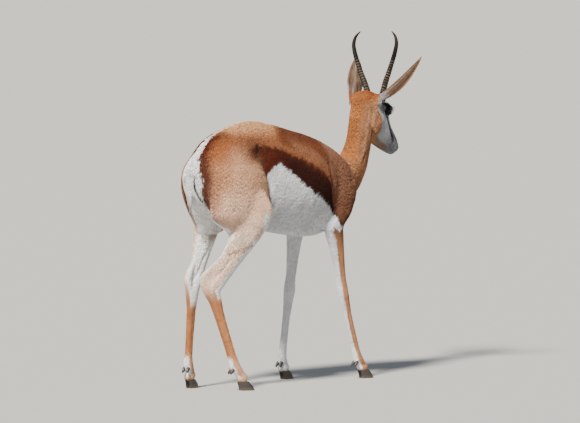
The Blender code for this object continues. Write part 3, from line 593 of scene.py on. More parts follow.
neckFolds = [
    ([(0.335, 0.040, 0.640), (0.372, 0.038, 0.690), (0.396, 0.034, 0.740), (0.425, 0.034, 0.785)], 0.006, 0.0020),
    ([(0.352, 0.044, 0.630), (0.390, 0.040, 0.680), (0.412, 0.035, 0.725), (0.440, 0.033, 0.765)], 0.005, 0.0018),
    ([(0.372, 0.040, 0.625), (0.408, 0.034, 0.672), (0.428, 0.028, 0.715)], 0.006, 0.0022),
    ([(0.344, 0.042, 0.636), (0.381, 0.040, 0.686), (0.404, 0.036, 0.733), (0.432, 0.034, 0.776)], 0.005, -0.0016),
    ([(0.330, 0.030, 0.680), (0.365, 0.026, 0.730), (0.385, 0.026, 0.790)], 0.008, 0.0014),
]
# In head coordinates: mouth, tear groove, cheek bone, jaw, nostril, lip and chin
headFolds = [
    ([(0.212, 0.006, -0.018), (0.200, 0.014, -0.0215), (0.186, 0.0185, -0.0215), (0.170, 0.0205, -0.0150),
      (0.162, 0.0210, -0.0120)], 0.0020, 0.0026),
    ([(0.100, 0.030, 0.016), (0.116, 0.026, 0.012)], 0.0045, 0.0022),
    ([(0.086, 0.036, 0.000), (0.115, 0.028, -0.004), (0.150, 0.021, -0.006)], 0.0060, -0.0016),
    ([(0.060, 0.034, -0.052), (0.090, 0.028, -0.056), (0.130, 0.018, -0.052)], 0.0070, -0.0014),
    ([(0.080, 0.034, -0.022), (0.120, 0.025, -0.024)], 0.0120, 0.0016),
    ([(0.206, 0.0085, -0.0005), (0.203, 0.0125, -0.0030), (0.198, 0.0140, -0.0010)], 0.0026, 0.0052),
    ([(0.2135, 0.0000, -0.0060), (0.2120, 0.0000, -0.0170)], 0.0016, 0.0018),
    ([(0.168, 0.0180, -0.0220), (0.185, 0.0170, -0.0280)], 0.0050, -0.0010),
]


# Moves rows in along their normals near each fold, on each of the given sides
def press(points, normals, folds, sides, own=None):
    where = own if own is not None else points
    for line, width, depth in folds:
        for side in sides:
            path = [(x, side * y, z) for x, y, z in line]
            gap, along = nearLine(where, path)
            fade = ramp(along, 0, 0.25) * (1 - ramp(along, 0.75, 1))
            amount = depth * np.exp(-(gap / width) ** 2) * fade * (gap < 3 * width)
            points = points - normals * amount[:, None]
    return points


def legFrame(bone):
    turn = math.radians(bone["turn"])
    ahead = Vector((math.cos(turn), math.sin(turn), 0))
    across = Vector((-math.sin(turn), math.cos(turn), 0))
    return ahead, across


# Tendon grooves on both flanks of a leg, and the hollow before the great tendon of a hind leg
def legLines(name):
    path = [Vector(p) for p in legBones[name]["path"]]
    ahead, across = legFrame(legBones[name])
    high = Vector((0, 0, 1))
    lines = []
    for side in (across, -across):
        reach = 0.011 if name.startswith("hind") else 0.0105
        lines.append(([path[2].lerp(path[3], 0.16) + side * reach - ahead * 0.0045,
                       path[2].lerp(path[3], 0.55) + side * reach * 0.95 - ahead * 0.0040,
                       path[2].lerp(path[3], 0.90) + side * reach - ahead * 0.0035], 0.0028, 0.0014))
        if name.startswith("hind"):
            lines.append(([path[1].lerp(path[2], 0.52) + side * 0.020 - ahead * 0.012,
                           path[1].lerp(path[2], 0.72) + side * 0.016 - ahead * 0.012,
                           path[2] + side * 0.013 - ahead * 0.014 + high * 0.022], 0.0060, 0.0046))
            lines.append(([path[2] + side * 0.015 + ahead * 0.016 + high * 0.014,
                           path[2] + side * 0.017 + ahead * 0.004 - high * 0.006], 0.0040, 0.0014))
            lines.append(([path[1].lerp(path[2], 0.34) + side * 0.028 + ahead * 0.004,
                           path[1].lerp(path[2], 0.50) + side * 0.024 - ahead * 0.006,
                           path[1].lerp(path[2], 0.66) + side * 0.018 - ahead * 0.004], 0.0045, 0.0018))
        else:
            lines.append(([path[1].lerp(path[2], 0.20) + side * 0.019 - ahead * 0.004,
                           path[1].lerp(path[2], 0.55) + side * 0.015 - ahead * 0.004,
                           path[1].lerp(path[2], 0.86) + side * 0.012 - ahead * 0.003], 0.0045, 0.0018))
            lines.append(([path[2] + side * 0.014 + ahead * 0.006 + high * 0.016,
                           path[2] + side * 0.015 + ahead * 0.002 - high * 0.016], 0.0050, -0.0010))
    return [([tuple(p) for p in line], width, depth) for line, width, depth in lines]


# How far the skin lies under the tips of the coat
def coatDepth(figure, inHead, region):
    depth = np.full(len(figure), 0.0028)
    depth = np.where(region == 2, 0.0011 + 0.0015 * (1 - ramp(inHead[:, 0], 0.02, 0.12)), depth)
    depth = np.where(region == 3, 0.0034, depth)
    depth = np.where(region > 3, 0.0011 + 0.0017 * ramp(figure[:, 2], 0.26, 0.50), depth)
    return np.minimum(depth, 0.0012 + 0.02 * np.abs(figure[:, 2]))


def makeSkin():
    skin, fleshNodes = fleshCopy()
    # a finer mesh where the face has its small shapes
    figure = pointsOf(skin.data) + shift
    inHead = headSpace(figure)
    fine = (inHead[:, 0] > 0.055) & (figure[:, 0] > 0.42)
    selectOnly(skin)
    bpy.ops.object.mode_set(mode="EDIT")
    pickFaces(skin, lambda face: all(fine[i] for i in face.vertices))
    bpy.ops.mesh.subdivide(number_cuts=1)
    bpy.ops.mesh.select_all(action="DESELECT")
    bpy.ops.object.mode_set(mode="OBJECT")
    print("skin fused,", len(skin.data.vertices), "points")

    points = pointsOf(skin.data)
    region = labelled(points, fleshNodes)
    edges = edgesOf(skin.data)
    figure = points + shift
    inHead = headSpace(figure)
    soft = np.where(region > 3, 0.06 + 0.5 * ramp(figure[:, 2], 0.42, 0.54), 0.5)
    soft = np.where(region == 2, 0.5 - 0.40 * ramp(inHead[:, 0], -0.01, 0.05) - 0.04 * ramp(inHead[:, 0], 0.10, 0.16), soft)
    soft = np.where(region == 3, 0.10, soft)
    soft = averaged(soft[:, None], edges, 0.5, 8)[:, 0]
    low = averaged(points, edges, soft, skinLook["rounds"])
    points = low + averaged(points - low, edges, soft, skinLook["rounds"])
    setPoints(skin.data, points)
    print("skin smoothed")

    normals = normalsOf(skin.data)
    figure = points + shift
    body = region != 2
    moved = figure.copy()
    moved[body] = press(figure[body], normals[body], bodyFolds, (1, -1))
    onNeck = (region == 1) | ((region == 0) & (figure[:, 0] > 0.28))
    moved[onNeck] = press(moved[onNeck], normals[onNeck], neckFolds, (1, -1))
    for name in legBones:
        own = (region == regionNames.index(name)) & (figure[:, 2] < 0.52)
        moved[own] = press(moved[own], normals[own], legLines(name), (1,))
    onHead = region == 2
    inHead = headSpace(figure)
    moved[onHead] = press(moved[onHead], normals[onHead] * headPose["scale"], headFolds, (1, -1), own=inHead[onHead])
    # ribs and a slight unevenness of the flesh
    ribs = np.sin((figure[:, 0] + 0.25 * figure[:, 2]) * 2 * math.pi / 0.034)
    onRibs = (ramp(figure[:, 0], -0.03, 0.03) * (1 - ramp(figure[:, 0], 0.13, 0.17)) * ramp(figure[:, 2], 0.50, 0.56)
              * (1 - ramp(figure[:, 2], 0.66, 0.70)) * (region == 0))
    uneven = 0.0005 * ripple(figure, 0.05, 3) * (region < 2) + 0.00022 * ribs * onRibs
    sink = averaged(coatDepth(figure, inHead, region)[:, None], edges, 0.5, 10)[:, 0]
    moved += normals * (uneven - sink)[:, None]
    setPoints(skin.data, moved - shift)
    triangles = sum(len(f.vertices) - 2 for f in skin.data.polygons)
    applyModifier(skin, "DECIMATE", ratio=min(1.0, skinLook["triangles"] / triangles))
    print("skin shaped,", len(skin.data.polygons), "faces")
    return skin, fleshNodes


# Ears: a grid is drawn into a cupped leaf, nearly a tube at its root, then gets its thickness
earLook = {"length": 0.175, "width": 0.049, "wall": 0.0042, "gristle": 0.0017, "rows": 70, "columns": 32}
earShapes = {
    "left": {"base": (0.022, 0.047, 0.010), "tip": (0.0120, 0.1000, 0.1540), "open": (0.62, 0.62, 0.49),
             "narrow": 1.0, "bow": 1.0, "long": 1.0},
    "right": {"base": (0.026, -0.037, 0.018), "tip": (-0.0200, -0.1654, 0.1328), "open": (0.80, 0.10, 0.0),
              "narrow": 0.78, "bow": -0.6, "long": 1.07},
}
earSections = [
    # share of the length, share of the full width, degrees that the wall wraps, bend backwards
    (-0.06, 0.56, 250, 0.0), (0.05, 0.62, 235, 0.0), (0.20, 0.82, 195, 0.012), (0.38, 1.00, 160, 0.020),
    (0.56, 0.96, 135, 0.020), (0.74, 0.74, 115, 0.012), (0.88, 0.42, 100, 0.003), (0.96, 0.18, 90, -0.004),
    (1.00, 0.06, 80, -0.008),
]


def earAxes(name):
    base, tip, opening = (Vector(earShapes[name][k]) for k in ("base", "tip", "open"))
    along = (tip - base).normalized()
    face = (opening - along * opening.dot(along)).normalized()
    return np.array(base), np.array(along), np.array(face), np.array(along.cross(face))


# Places on the leaf in head coordinates for shares of its length and places across it from -1 to 1
def earPlaces(name, share, across):
    base, along, face, beside = earAxes(name)
    scale = headPose["scale"]
    table = throughCurve(earSections, 6)
    width, wrap, bend = (np.interp(share, table[:, 0], table[:, c]) for c in (1, 2, 3))
    half = np.radians(wrap) / 2
    chord = earLook["width"] * earShapes[name]["narrow"] * width / scale
    radius = chord / 2 / np.sin(np.minimum(half, math.pi / 2))
    wall = np.minimum(earLook["wall"] / scale, chord * 0.45)
    length = earLook["length"] * earShapes[name]["long"] / scale
    centre = base + along * (length * share)[:, None] + face * (radius - bend * earShapes[name]["bow"] * 0.5 - 0.010)[:, None]
    angle = half * across
    ray = beside * np.sin(angle)[:, None] - face * np.cos(angle)[:, None]
    reach = radius - wall * (0.5 - 0.16 * np.abs(across))
    # two soft folds run up the back of the leaf, and the edges turn in a little
    crease = 0.0016 * np.exp(-((across - 0.30) / 0.09) ** 2) + 0.0012 * np.exp(-((across + 0.38) / 0.10) ** 2)
    reach = reach - crease * ramp(share, 0.05, 0.25) * (1 - ramp(share, 0.75, 0.95))
    return centre + ray * reach[:, None], ray


def makeEar(name):
    bpy.ops.mesh.primitive_grid_add(x_subdivisions=earLook["columns"], y_subdivisions=earLook["rows"], size=2)
    leaf = bpy.context.object
    leaf.name = leaf.data.name = "ear" + name
    plain = pointsOf(leaf.data)
    share = 0.995 - 1.05 * (0.5 - plain[:, 1] / 2) ** 1.15
    places, _ = earPlaces(name, share, plain[:, 0])
    setPoints(leaf.data, toScene(places))
    selectOnly(leaf)
    bpy.ops.object.mode_set(mode="EDIT")
    bpy.ops.mesh.select_all(action="SELECT")
    bpy.ops.mesh.normals_make_consistent(inside=False)
    bpy.ops.object.mode_set(mode="OBJECT")
    applyModifier(leaf, "SOLIDIFY", thickness=earLook["gristle"], offset=0.0)
    return leaf


# Where a place lies on its ear: share of the length, across from -1 to 1, and whether it is on the back
def onEar(inHead, name):
    base, along, face, beside = earAxes(name)
    scale = headPose["scale"]
    share = (inHead - base) @ along * scale / (earLook["length"] * earShapes[name]["long"])
    table = throughCurve(earSections, 6)
    width, wrap, bend = (np.interp(share, table[:, 0], table[:, c]) for c in (1, 2, 3))
    half = np.radians(wrap) / 2
    radius = earLook["width"] * earShapes[name]["narrow"] * width / scale / 2 / np.sin(np.minimum(half, math.pi / 2))
    middle = inHead - base - face * (radius - bend * earShapes[name]["bow"] * 0.5 - 0.010)[:, None]
    angle = np.arctan2(middle @ beside, -(middle @ face))
    ray = beside * np.sin(angle)[:, None] - face * np.cos(angle)[:, None]
    return share, angle / half, ray


# Colours of the coat, as painted on the skin and on each tuft at its root
tone = {
    "back": (0.34, 0.135, 0.054), "side": (0.26, 0.095, 0.040), "croupHighlight": (0.60, 0.315, 0.155),
    "saddleShade": (0.155, 0.044, 0.016), "ribs": (0.27, 0.120, 0.062),
    "shoulder": (0.190, 0.086, 0.050), "orange": (0.36, 0.115, 0.034), "chestnut": (0.072, 0.008, 0.0015),
    "band": (0.030, 0.006, 0.002), "thigh": (0.62, 0.345, 0.200), "palethigh": (0.78, 0.53, 0.39),
    "white": (0.88, 0.87, 0.85), "shadedWhite": (0.71, 0.715, 0.735), "hip": (0.095, 0.028, 0.012),
    "nape": (0.39, 0.143, 0.044), "neck": (0.36, 0.165, 0.078), "streak": (0.215, 0.105, 0.060),
    "crown": (0.26, 0.070, 0.012), "paleNeck": (0.47, 0.260, 0.150), "face": (0.40, 0.41, 0.43), "muzzle": (0.070, 0.079, 0.092),
    "shadedJaw": (0.165, 0.088, 0.036), "stripe": (0.016, 0.008, 0.006), "rim": (0.006, 0.005, 0.005),
    "ear": (0.120, 0.072, 0.046), "earRim": (0.45, 0.170, 0.055), "earInside": (0.46, 0.38, 0.33),
    "gaskin": (0.78, 0.57, 0.44), "cannon": (0.45, 0.190, 0.078), "rust": (0.30, 0.105, 0.035),
    "foreleg": (0.44, 0.215, 0.105), "udder": (0.36, 0.235, 0.195), "black": (0.010, 0.008, 0.007),
}
bandTop = [(-0.20, 0.737), (-0.120, 0.730), (-0.071, 0.719), (-0.030, 0.707), (0.0, 0.698), (0.049, 0.682), (0.075, 0.671),
           (0.110, 0.655), (0.137, 0.640), (0.162, 0.621), (0.172, 0.600), (0.177, 0.576), (0.184, 0.550), (0.197, 0.514), (0.215, 0.47)]
thighEdge = [(0.44, -0.070), (0.50, -0.076), (0.54, -0.080), (0.557, -0.084), (0.588, -0.096), (0.618, -0.107), (0.648, -0.116), (0.70, -0.128)]
bellyTop = [(-0.30, 0.56), (-0.122, 0.620), (-0.100, 0.642), (-0.075, 0.662), (-0.060, 0.666), (-0.052, 0.664), (-0.025, 0.650),
            (0.012, 0.622), (0.051, 0.595), (0.081, 0.580), (0.117, 0.561), (0.161, 0.537), (0.193, 0.508), (0.205, 0.478),
            (0.235, 0.44), (0.30, 0.43)]
rumpEdge = {  # height and half width of the white patch on each side of the tail
    -1: [(0.44, 0.090), (0.470, 0.080), (0.481, 0.0745), (0.491, 0.0675), (0.503, 0.062), (0.515, 0.052), (0.524, 0.038), (0.534, 0.026),
         (0.556, 0.027), (0.590, 0.034), (0.612, 0.038), (0.642, 0.035), (0.671, 0.024), (0.693, 0.012), (0.716, 0.006),
         (0.740, 0.003), (0.775, 0.002), (0.80, 0.0)],
    1: [(0.44, 0.055), (0.473, 0.064), (0.515, 0.062), (0.544, 0.059), (0.606, 0.053), (0.642, 0.041), (0.680, 0.029), (0.706, 0.018),
        (0.744, 0.006), (0.775, 0.003), (0.80, 0.0)],
}
cheekEdge = [(-0.075, 0.150), (-0.062, 0.125), (-0.059, 0.110), (-0.045, 0.101), (-0.032, 0.0965), (-0.0196, 0.0885), (-0.0113, 0.0785),
             (-0.0090, 0.060), (-0.0062, 0.0416), (0.0, 0.030), (0.010, 0.012)]
stripeLine = [(0.093, 0.034, 0.020), (0.108, 0.0285, 0.0100), (0.123, 0.0255, 0.0035), (0.137, 0.0238, 0.0), (0.152, 0.0217, -0.0035),
              (0.167, 0.0200, -0.0080)]
# The black round the eye reaches up to the ear's root and down into the stripe
browLine = [(0.054, 0.038, 0.027), (0.066, 0.0400, 0.0270), (0.084, 0.0390, 0.0250), (0.0960, 0.0332, 0.0200), (0.1020, 0.0295, 0.0090)]


ribLine = [(0.035, 0.716), (0.070, 0.702), (0.108, 0.686), (0.150, 0.664), (0.186, 0.638), (0.198, 0.605), (0.205, 0.575)]


def alongTable(table, value):
    return np.interp(value, [r[0] for r in table], [r[1] for r in table])


def headColours(figure, inHead, normals, fine):
    hx, hy, hz = inHead.T
    side = np.abs(hy)
    turned = np.array(headPlace.to_3x3().normalized())
    facing = normals @ turned
    # Painted shade: the white face is painted grey, and the white muzzle dark grey; the muzzle's speckles and dots are
    # its own.
    colour = np.tile(tone["face"], (len(inHead), 1)).astype(float)
    speckle = 0.5 + 0.5 * ripple(inHead, 0.006, 31)
    colour = blended(colour, tone["muzzle"], ramp(hx, 0.125, 0.175) * (0.45 + 0.55 * speckle))
    dots = ramp(ripple(inHead, 0.0036, 32), 0.75, 1.15) * ramp(hx, 0.145, 0.17)
    colour = blended(colour, (0.030, 0.032, 0.040), dots * 0.8)
    # Painted shade and painted reflection: the white underside of the jaw, where it faces down, is painted a dull
    # brown.
    under = ramp(-facing[:, 2], 0.20, 0.60) * (1 - ramp(hx, 0.15, 0.19)) * (1 - ramp(hz, -0.030, -0.018))
    colour = blended(colour, tone["shadedJaw"], under * 0.85)
    jag = 0.0035 * fine
    cheek = (1 - ramp(hx, alongTable(cheekEdge, hz) - 0.006 + jag, alongTable(cheekEdge, hz) + 0.004 + jag)) * (1 - ramp(hz, 0.004, 0.012))
    neckLike = neckColours(figure, normals)
    colour = blended(colour, neckLike, cheek)
    colour = blended(colour, neckLike, 1 - ramp(hx, 0.012, 0.036))
    reach = 0.030 * ramp(side, 0.024, 0.032)
    crown = (1 - ramp(hx + reach, 0.060 + jag, 0.098 + jag)) * ramp(hz - 0.10 * np.maximum(hx, 0) + 1.6 * np.clip(0.012 - hx, 0, 0.05), 0.014, 0.028)
    colour = blended(colour, tone["crown"], crown)
    blaze = ramp(hx, 0.058, 0.075) * (1 - ramp(hx, 0.085, 0.105)) * (1 - ramp(side, 0.006, 0.016)) * ramp(hz, 0.02, 0.03)
    colour = blended(colour, tone["rust"], 0.5 * blaze)
    gap, along = nearLine(np.c_[hx, side, hz], stripeLine)
    width = 0.0036 + 0.0020 * along + 0.0005 * fine
    colour = blended(colour, tone["stripe"], (1 - ramp(gap, width, width + 0.0016)) * (1 - 0.4 * ramp(along, 0.85, 1.0)))
    eyeGap = np.linalg.norm(np.c_[hx - eyeX, side - eyeY, hz - eyeZ], axis=1)
    look, level, upper = (np.array(v) for v in eyeAxes(1))
    away = np.c_[hx - eyeX, side - eyeY, hz - eyeZ]
    flat = np.hypot(away @ level / 0.0150, away @ upper / 0.0112)
    rim = (1 - ramp(flat, 1.06, 1.36)) * (away @ look > 0) * (1 - ramp(eyeGap, 0.022, 0.026))
    brow, _ = nearLine(np.c_[hx, side, hz], browLine)
    under, _ = nearLine(np.c_[hx, side, hz], [(0.064, 0.0385, 0.013), (0.078, 0.0370, 0.0090), (0.094, 0.0325, 0.0095)])
    rim = np.maximum(rim, 1 - ramp(np.minimum(brow, under + 0.0006), 0.0030, 0.0052))
    # Painted shade: two dark grey patches, beside the eye and above it.
    shade = np.exp(-((hx - 0.060) / 0.013) ** 2 - ((hz - 0.010) / 0.010) ** 2) * (side > 0.02)
    colour = blended(colour, (0.095, 0.098, 0.108), 0.75 * shade)
    shadeAbove = np.exp(-((hx - 0.056) / 0.011) ** 2 - ((hz - 0.027) / 0.009) ** 2) * (side > 0.026)
    colour = blended(colour, (0.070, 0.072, 0.080), 0.85 * np.clip(1.6 * shadeAbove, 0, 1))
    rim = np.maximum(rim, (1 - ramp(eyeGap, 0.0172, 0.0192)) * ramp(side, 0.0362, 0.0395))
    colour = blended(colour, tone["rim"], rim)
    nostril = np.linalg.norm(np.c_[(hx - 0.203) / 1.2, side - 0.0115, (hz + 0.0015) * 0.9], axis=1)
    colour = blended(colour, tone["rim"], 1 - ramp(nostril, 0.0030, 0.0058))
    nose = ramp(hx, 0.2055, 0.2105) * (1 - ramp(side, 0.006, 0.011)) * ramp(hz, -0.016, -0.010)
    colour = blended(colour, (0.05, 0.045, 0.045), nose)
    mouth, _ = nearLine(np.c_[hx, side, hz], headFolds[0][0])
    return blended(colour, (0.05, 0.035, 0.03), (1 - ramp(mouth, 0.0009, 0.0028)) * 0.85)


# Orange nape, a streaked pinkish side and a narrow white throat
neckStreaks = [
    # line, half width, strength; below zero is a pale band
    ([(0.421, 0.816), (0.412, 0.795), (0.402, 0.772), (0.391, 0.749), (0.381, 0.725), (0.370, 0.702), (0.352, 0.672)], 0.0035, 0.75),
    ([(0.434, 0.812), (0.429, 0.789), (0.421, 0.765), (0.411, 0.742), (0.398, 0.719), (0.382, 0.695), (0.350, 0.655)], 0.0030, 0.60),
    ([(0.456, 0.796), (0.448, 0.770), (0.440, 0.746), (0.424, 0.718), (0.408, 0.697), (0.388, 0.672), (0.368, 0.650)], 0.0042, 0.95),
    ([(0.406, 0.808), (0.396, 0.784), (0.382, 0.755), (0.370, 0.725), (0.356, 0.696)], 0.0028, 0.40),
    ([(0.446, 0.806), (0.438, 0.780), (0.430, 0.752), (0.416, 0.726), (0.398, 0.700), (0.372, 0.668)], 0.0050, -0.55),
    ([(0.428, 0.806), (0.418, 0.782), (0.409, 0.757), (0.398, 0.733), (0.385, 0.708), (0.364, 0.680)], 0.0038, -0.40),
]


def neckColours(figure, normals):
    axis = unit(np.array([(0.176, 0.012, 0.250)]))[0]
    back = unit(np.array([(-0.82, 0.0, 0.57)]))[0]
    nape = normals @ back
    across = figure - np.array((0.262, 0, 0.588))
    long = across @ axis
    thin = ripple(np.c_[(across @ back), across[:, 1], long * 0.14], 0.011, 34)
    broad = ripple(np.c_[(across @ back), across[:, 1], long * 0.3], 0.03, 35)
    colour = np.tile(tone["neck"], (len(figure), 1)).astype(float)
    colour = blended(colour, tone["nape"], ramp(nape, 0.15, 0.75))
    streaks = (1 - ramp(nape, 0.25, 0.7)) * (0.55 * ramp(thin, 0.0, 0.9) + 0.35 * ramp(broad, 0.0, 0.8))
    colour = blended(colour, tone["streak"], streaks * 0.7)
    waved = figure[:, (0, 2)] + 0.0016 * ripple(figure, 0.03, 36)[:, None]
    for line, width, strength in neckStreaks:
        gap, along = nearLine(waved, line)
        amount = np.exp(-(gap / (width * (1 + 0.25 * broad))) ** 2) * ramp(along, 0, 0.12) * (1 - ramp(along, 0.8, 1)) * (1 - ramp(nape, 0.45, 0.7))
        colour = blended(colour, tone["streak"] if strength > 0 else tone["paleNeck"], amount * abs(strength))
    throat = ramp(-nape, 0.72, 0.90) * ramp(long, 0.10, 0.16) * (1 - ramp(np.abs(figure[:, 1] - 0.01), 0.010, 0.020))
    return blended(colour, tone["white"], throat * 0.9)


def trunkColours(figure, normals, fine):
    x, y, z = figure.T
    side = np.abs(y)
    colour = np.tile(tone["side"], (len(x), 1)).astype(float)
    upper = alongTable(bandTop, x)
    lower = alongTable(bellyTop, x)
    colour = blended(colour, tone["back"], ramp(z - upper, 0.0, 0.055))
    mottle = 0.010 * ripple(figure, 0.05, 43)
    # Painted highlight on the top of the croup, and painted shade on the top of the back ahead of it, where the back
    # slopes away from the light.
    colour = blended(colour, tone["croupHighlight"], ramp(z, 0.738, 0.778) * (1 - ramp(x + side + mottle, 0.005, 0.055)))
    colour = blended(colour, tone["saddleShade"], ramp(x + side + mottle, 0.010, 0.055) * ramp(z - upper, 0.004, 0.030))
    ribLight, _ = nearLine(np.c_[x + mottle, z], ribLine)
    colour = blended(colour, tone["ribs"], 0.8 * np.exp(-(ribLight / 0.017) ** 2))
    shoulder = ramp(x, 0.165, 0.205)
    colour = blended(colour, tone["shoulder"], shoulder * 0.9)
    colour = blended(colour, (0.105, 0.038, 0.019), shoulder * (1 - ramp(z, 0.50, 0.60)) * 0.8)
    chest = ramp(x, 0.27, 0.31) * ramp(z, 0.56, 0.62)
    colour = blended(colour, tone["neck"], chest * 0.55)
    # thigh and rump, behind the flank
    behind = 1 - ramp(x - alongTable(thighEdge, z), -0.030 * ramp(z, 0.62, 0.70) - 0.004, 0.004 + 0.030 * ramp(z, 0.62, 0.70))
    colour = blended(colour, tone["thigh"], behind * (1 - ramp(z, 0.655, 0.745)))
    colour = blended(colour, tone["palethigh"], behind * (1 - ramp(z, 0.52, 0.65)) * 0.8)
    orange = behind * ramp(z, 0.64, 0.72) * (1 - ramp(x, -0.265, -0.215))
    colour = blended(colour, tone["orange"], orange * 0.75)
    # the dark flank band
    drop = (upper - z) / np.maximum(upper - lower, 0.02)
    wave = 0.08 * ripple(figure, 0.022, 41)
    band = ramp(drop + wave, -0.06, 0.24)
    front = 1 - ramp(x, 0.196, 0.222)
    edge = x - alongTable(thighEdge, z)
    rear = ramp(edge, -0.050 + 0.045 * ramp(-z, -0.69, -0.62), 0.012 - 0.006 * ramp(-z, -0.69, -0.62))
    band = band * front * rear * (z > lower - 0.02)
    colour = blended(colour, tone["chestnut"], band * 0.92)
    colour = blended(colour, tone["band"], band * np.maximum(ramp(drop + wave, 0.08, 0.36) * ramp(x, -0.09, 0.0), 0.75 * np.exp(-((drop - 0.16) / 0.14) ** 2) * ramp(x, -0.19, -0.13)) * 0.96)
    # Painted shade: a dark patch in the hollow before the hip.
    hip = np.exp(-(((x + 0.156) / 0.036) ** 2 + ((z - 0.703) / 0.030) ** 2)) * (side > 0.04)
    colour = blended(colour, tone["hip"], 0.95 * hip)
    # Painted shade: a thin dark line in the fold along the thigh's front edge.
    crease = np.exp(-(edge / 0.0045) ** 2) * ramp(z, 0.53, 0.56) * (1 - ramp(z, 0.665, 0.70)) * (side > 0.05)
    colour = blended(colour, (0.075, 0.034, 0.022), 0.55 * crease)
    # white below, painted blue-grey as painted shade, and the strip behind the elbow
    jag = 0.0045 * fine + 0.004 * ripple(figure, 0.03, 42)
    white = (1 - ramp(z - lower + jag, -0.0035, 0.0035)) * ramp(edge, -0.002, 0.003)
    white = np.maximum(white, (1 - ramp(normals[:, 2], -0.75, -0.55)) * (z < 0.60) * (side < 0.085))
    white = np.maximum(white, (z < 0.53) * (side < 0.045) * 1.0)
    colour = blended(colour, tone["shadedWhite"], white)
    breast = (1 - ramp(z, 0.50, 0.515)) * (1 - ramp(side, 0.034, 0.044)) * ramp(x, 0.24, 0.26)
    return blended(colour, tone["white"], breast)


# Distance from the two black lines painted on the rump beside the tail
def besideTail(figure):
    y, z = figure[:, 1], figure[:, 2]
    lines = (((0.0245, 0.622), (0.0185, 0.597), (0.0125, 0.572)), ((-0.0160, 0.634), (-0.0185, 0.600), (-0.0235, 0.560)))
    return np.minimum(*(nearLine(np.c_[y, z], line)[0] for line in lines))


# White round the tail, with a chestnut border that fades into the thigh
def rumpColours(colour, figure, normals, fine):
    x, y, z = figure.T
    side = np.abs(y)
    half = np.where(y < 0, alongTable(rumpEdge[-1], z), alongTable(rumpEdge[1], z))
    gap = side - half + 0.0038 * fine
    rear = 1 - ramp(x, -0.215, -0.185)
    border = (1 - ramp(gap, 0.008, 0.048)) * rear * ramp(z, 0.466, 0.490) * (0.25 + 0.75 * ramp(z, 0.49, 0.55)) * (1 - ramp(z, 0.745, 0.775))
    colour = blended(colour, tone["chestnut"], border * 0.93)
    orange = (1 - ramp(gap, 0.036, 0.068)) * rear * ramp(z, 0.49, 0.56) * (1 - ramp(z, 0.745, 0.790)) * (1 - border)
    colour = blended(colour, tone["orange"], orange * 0.65)
    white = (1 - ramp(gap, -0.0018, 0.0022)) * rear * ramp(z, 0.440, 0.455) * (half > 0.0004)
    colour = blended(colour, tone["white"], white)
    dark = (1 - ramp(besideTail(figure), 0.0020, 0.0036)) * rear
    colour = blended(colour, tone["black"], dark)
    # the closed crest on the loin shows as a thin pale line
    crest = (1 - ramp(side + 0.001 * fine, 0.0018, 0.0040)) * ramp(z, 0.70, 0.74) * ramp(x, -0.285, -0.265) * (1 - ramp(x, -0.13, -0.08))
    return blended(colour, (0.66, 0.55, 0.44), crest * 0.8)


gaskinCrease = [(-0.197, 0.435), (-0.217, 0.421), (-0.233, 0.415), (-0.251, 0.411), (-0.265, 0.408)]


def legColours(figure, normals, name, fine):
    z = figure[:, 2]
    ahead, across = (np.array(v) for v in legFrame(legBones[name]))
    outward = across if "Left" in name else -across
    facing = normals @ ahead
    beside = normals @ outward + 0.06 * fine
    if name.startswith("hind"):
        colour = np.tile(tone["gaskin"], (len(z), 1)).astype(float)
        colour = blended(colour, tone["thigh"], ramp(z, 0.46, 0.56) * 0.6)
        colour = blended(colour, tone["cannon"], 1 - ramp(z, 0.255, 0.330))
        colour = blended(colour, tone["rust"], (1 - ramp(z, 0.24, 0.30)) * ramp(z, 0.08, 0.12) * ramp(-facing, 0.2, 0.8) * 0.55)
        colour = blended(colour, tone["gaskin"], (1 - ramp(z, 0.075, 0.11)) * 0.35)
        gaskin = ramp(z, 0.30, 0.35)
        inner = (1 - ramp(beside, 0.17, 0.33)) * gaskin + (1 - ramp(beside, -0.55, -0.30)) * (1 - gaskin) * ramp(z, 0.235, 0.27)
        shin = ramp(facing, 0.08, 0.22) * ramp(z, 0.265, 0.29) * (1 - ramp(z, 0.515, 0.540))
        inner = np.maximum(inner, shin * np.maximum(1 - ramp(z, 0.440, 0.455), ramp(figure[:, 0], -0.174, -0.158)))
        colour = blended(colour, tone["white"], inner)
        colour = blended(colour, (0.40, 0.285, 0.190), inner * ramp(z, 0.425, 0.455) * (1 - ramp(z, 0.50, 0.54)) * (1 - ramp(beside, -0.7, -0.3)) * 0.8)
        # Painted shade: a thin dark line in the crease across the right gaskin.
        crease, _ = nearLine(np.c_[figure[:, 0], z], gaskinCrease)
        crease = (1 - ramp(crease, 0.0014, 0.0036)) * (beside > 0) * (name == "hindRight")
        colour = blended(colour, (0.26, 0.135, 0.080), crease * 0.85)
    else:
        colour = np.tile(tone["foreleg"], (len(z), 1)).astype(float)
        colour = blended(colour, tone["shoulder"], ramp(z, 0.40, 0.47) * 0.9)
        colour = blended(colour, (0.105, 0.038, 0.019), ramp(z, 0.44, 0.50) * 0.6)
        pale = 1 - ramp(0.75 * facing + 0.66 * beside, 0.10, 0.34)
        pale = pale * (1 - ramp(z, 0.44, 0.49)) + (1 - ramp(beside, -0.3, 0.0)) * ramp(z, 0.44, 0.49)
        # Painted shade: the pale inner and rear sides of the forelegs are white painted blue-grey.
        colour = blended(colour, tone["shadedWhite"], pale)
    back = (1 - ramp(z, 0.088, 0.105)) * ramp(z, 0.030, 0.045) * ramp(-facing, 0.25, 0.55)
    colour = blended(colour, tone["white"], back * 0.9)
    toes = 1 - ramp(z, 0.024, 0.036)
    return blended(colour, (0.30, 0.19, 0.12), toes * 0.5)


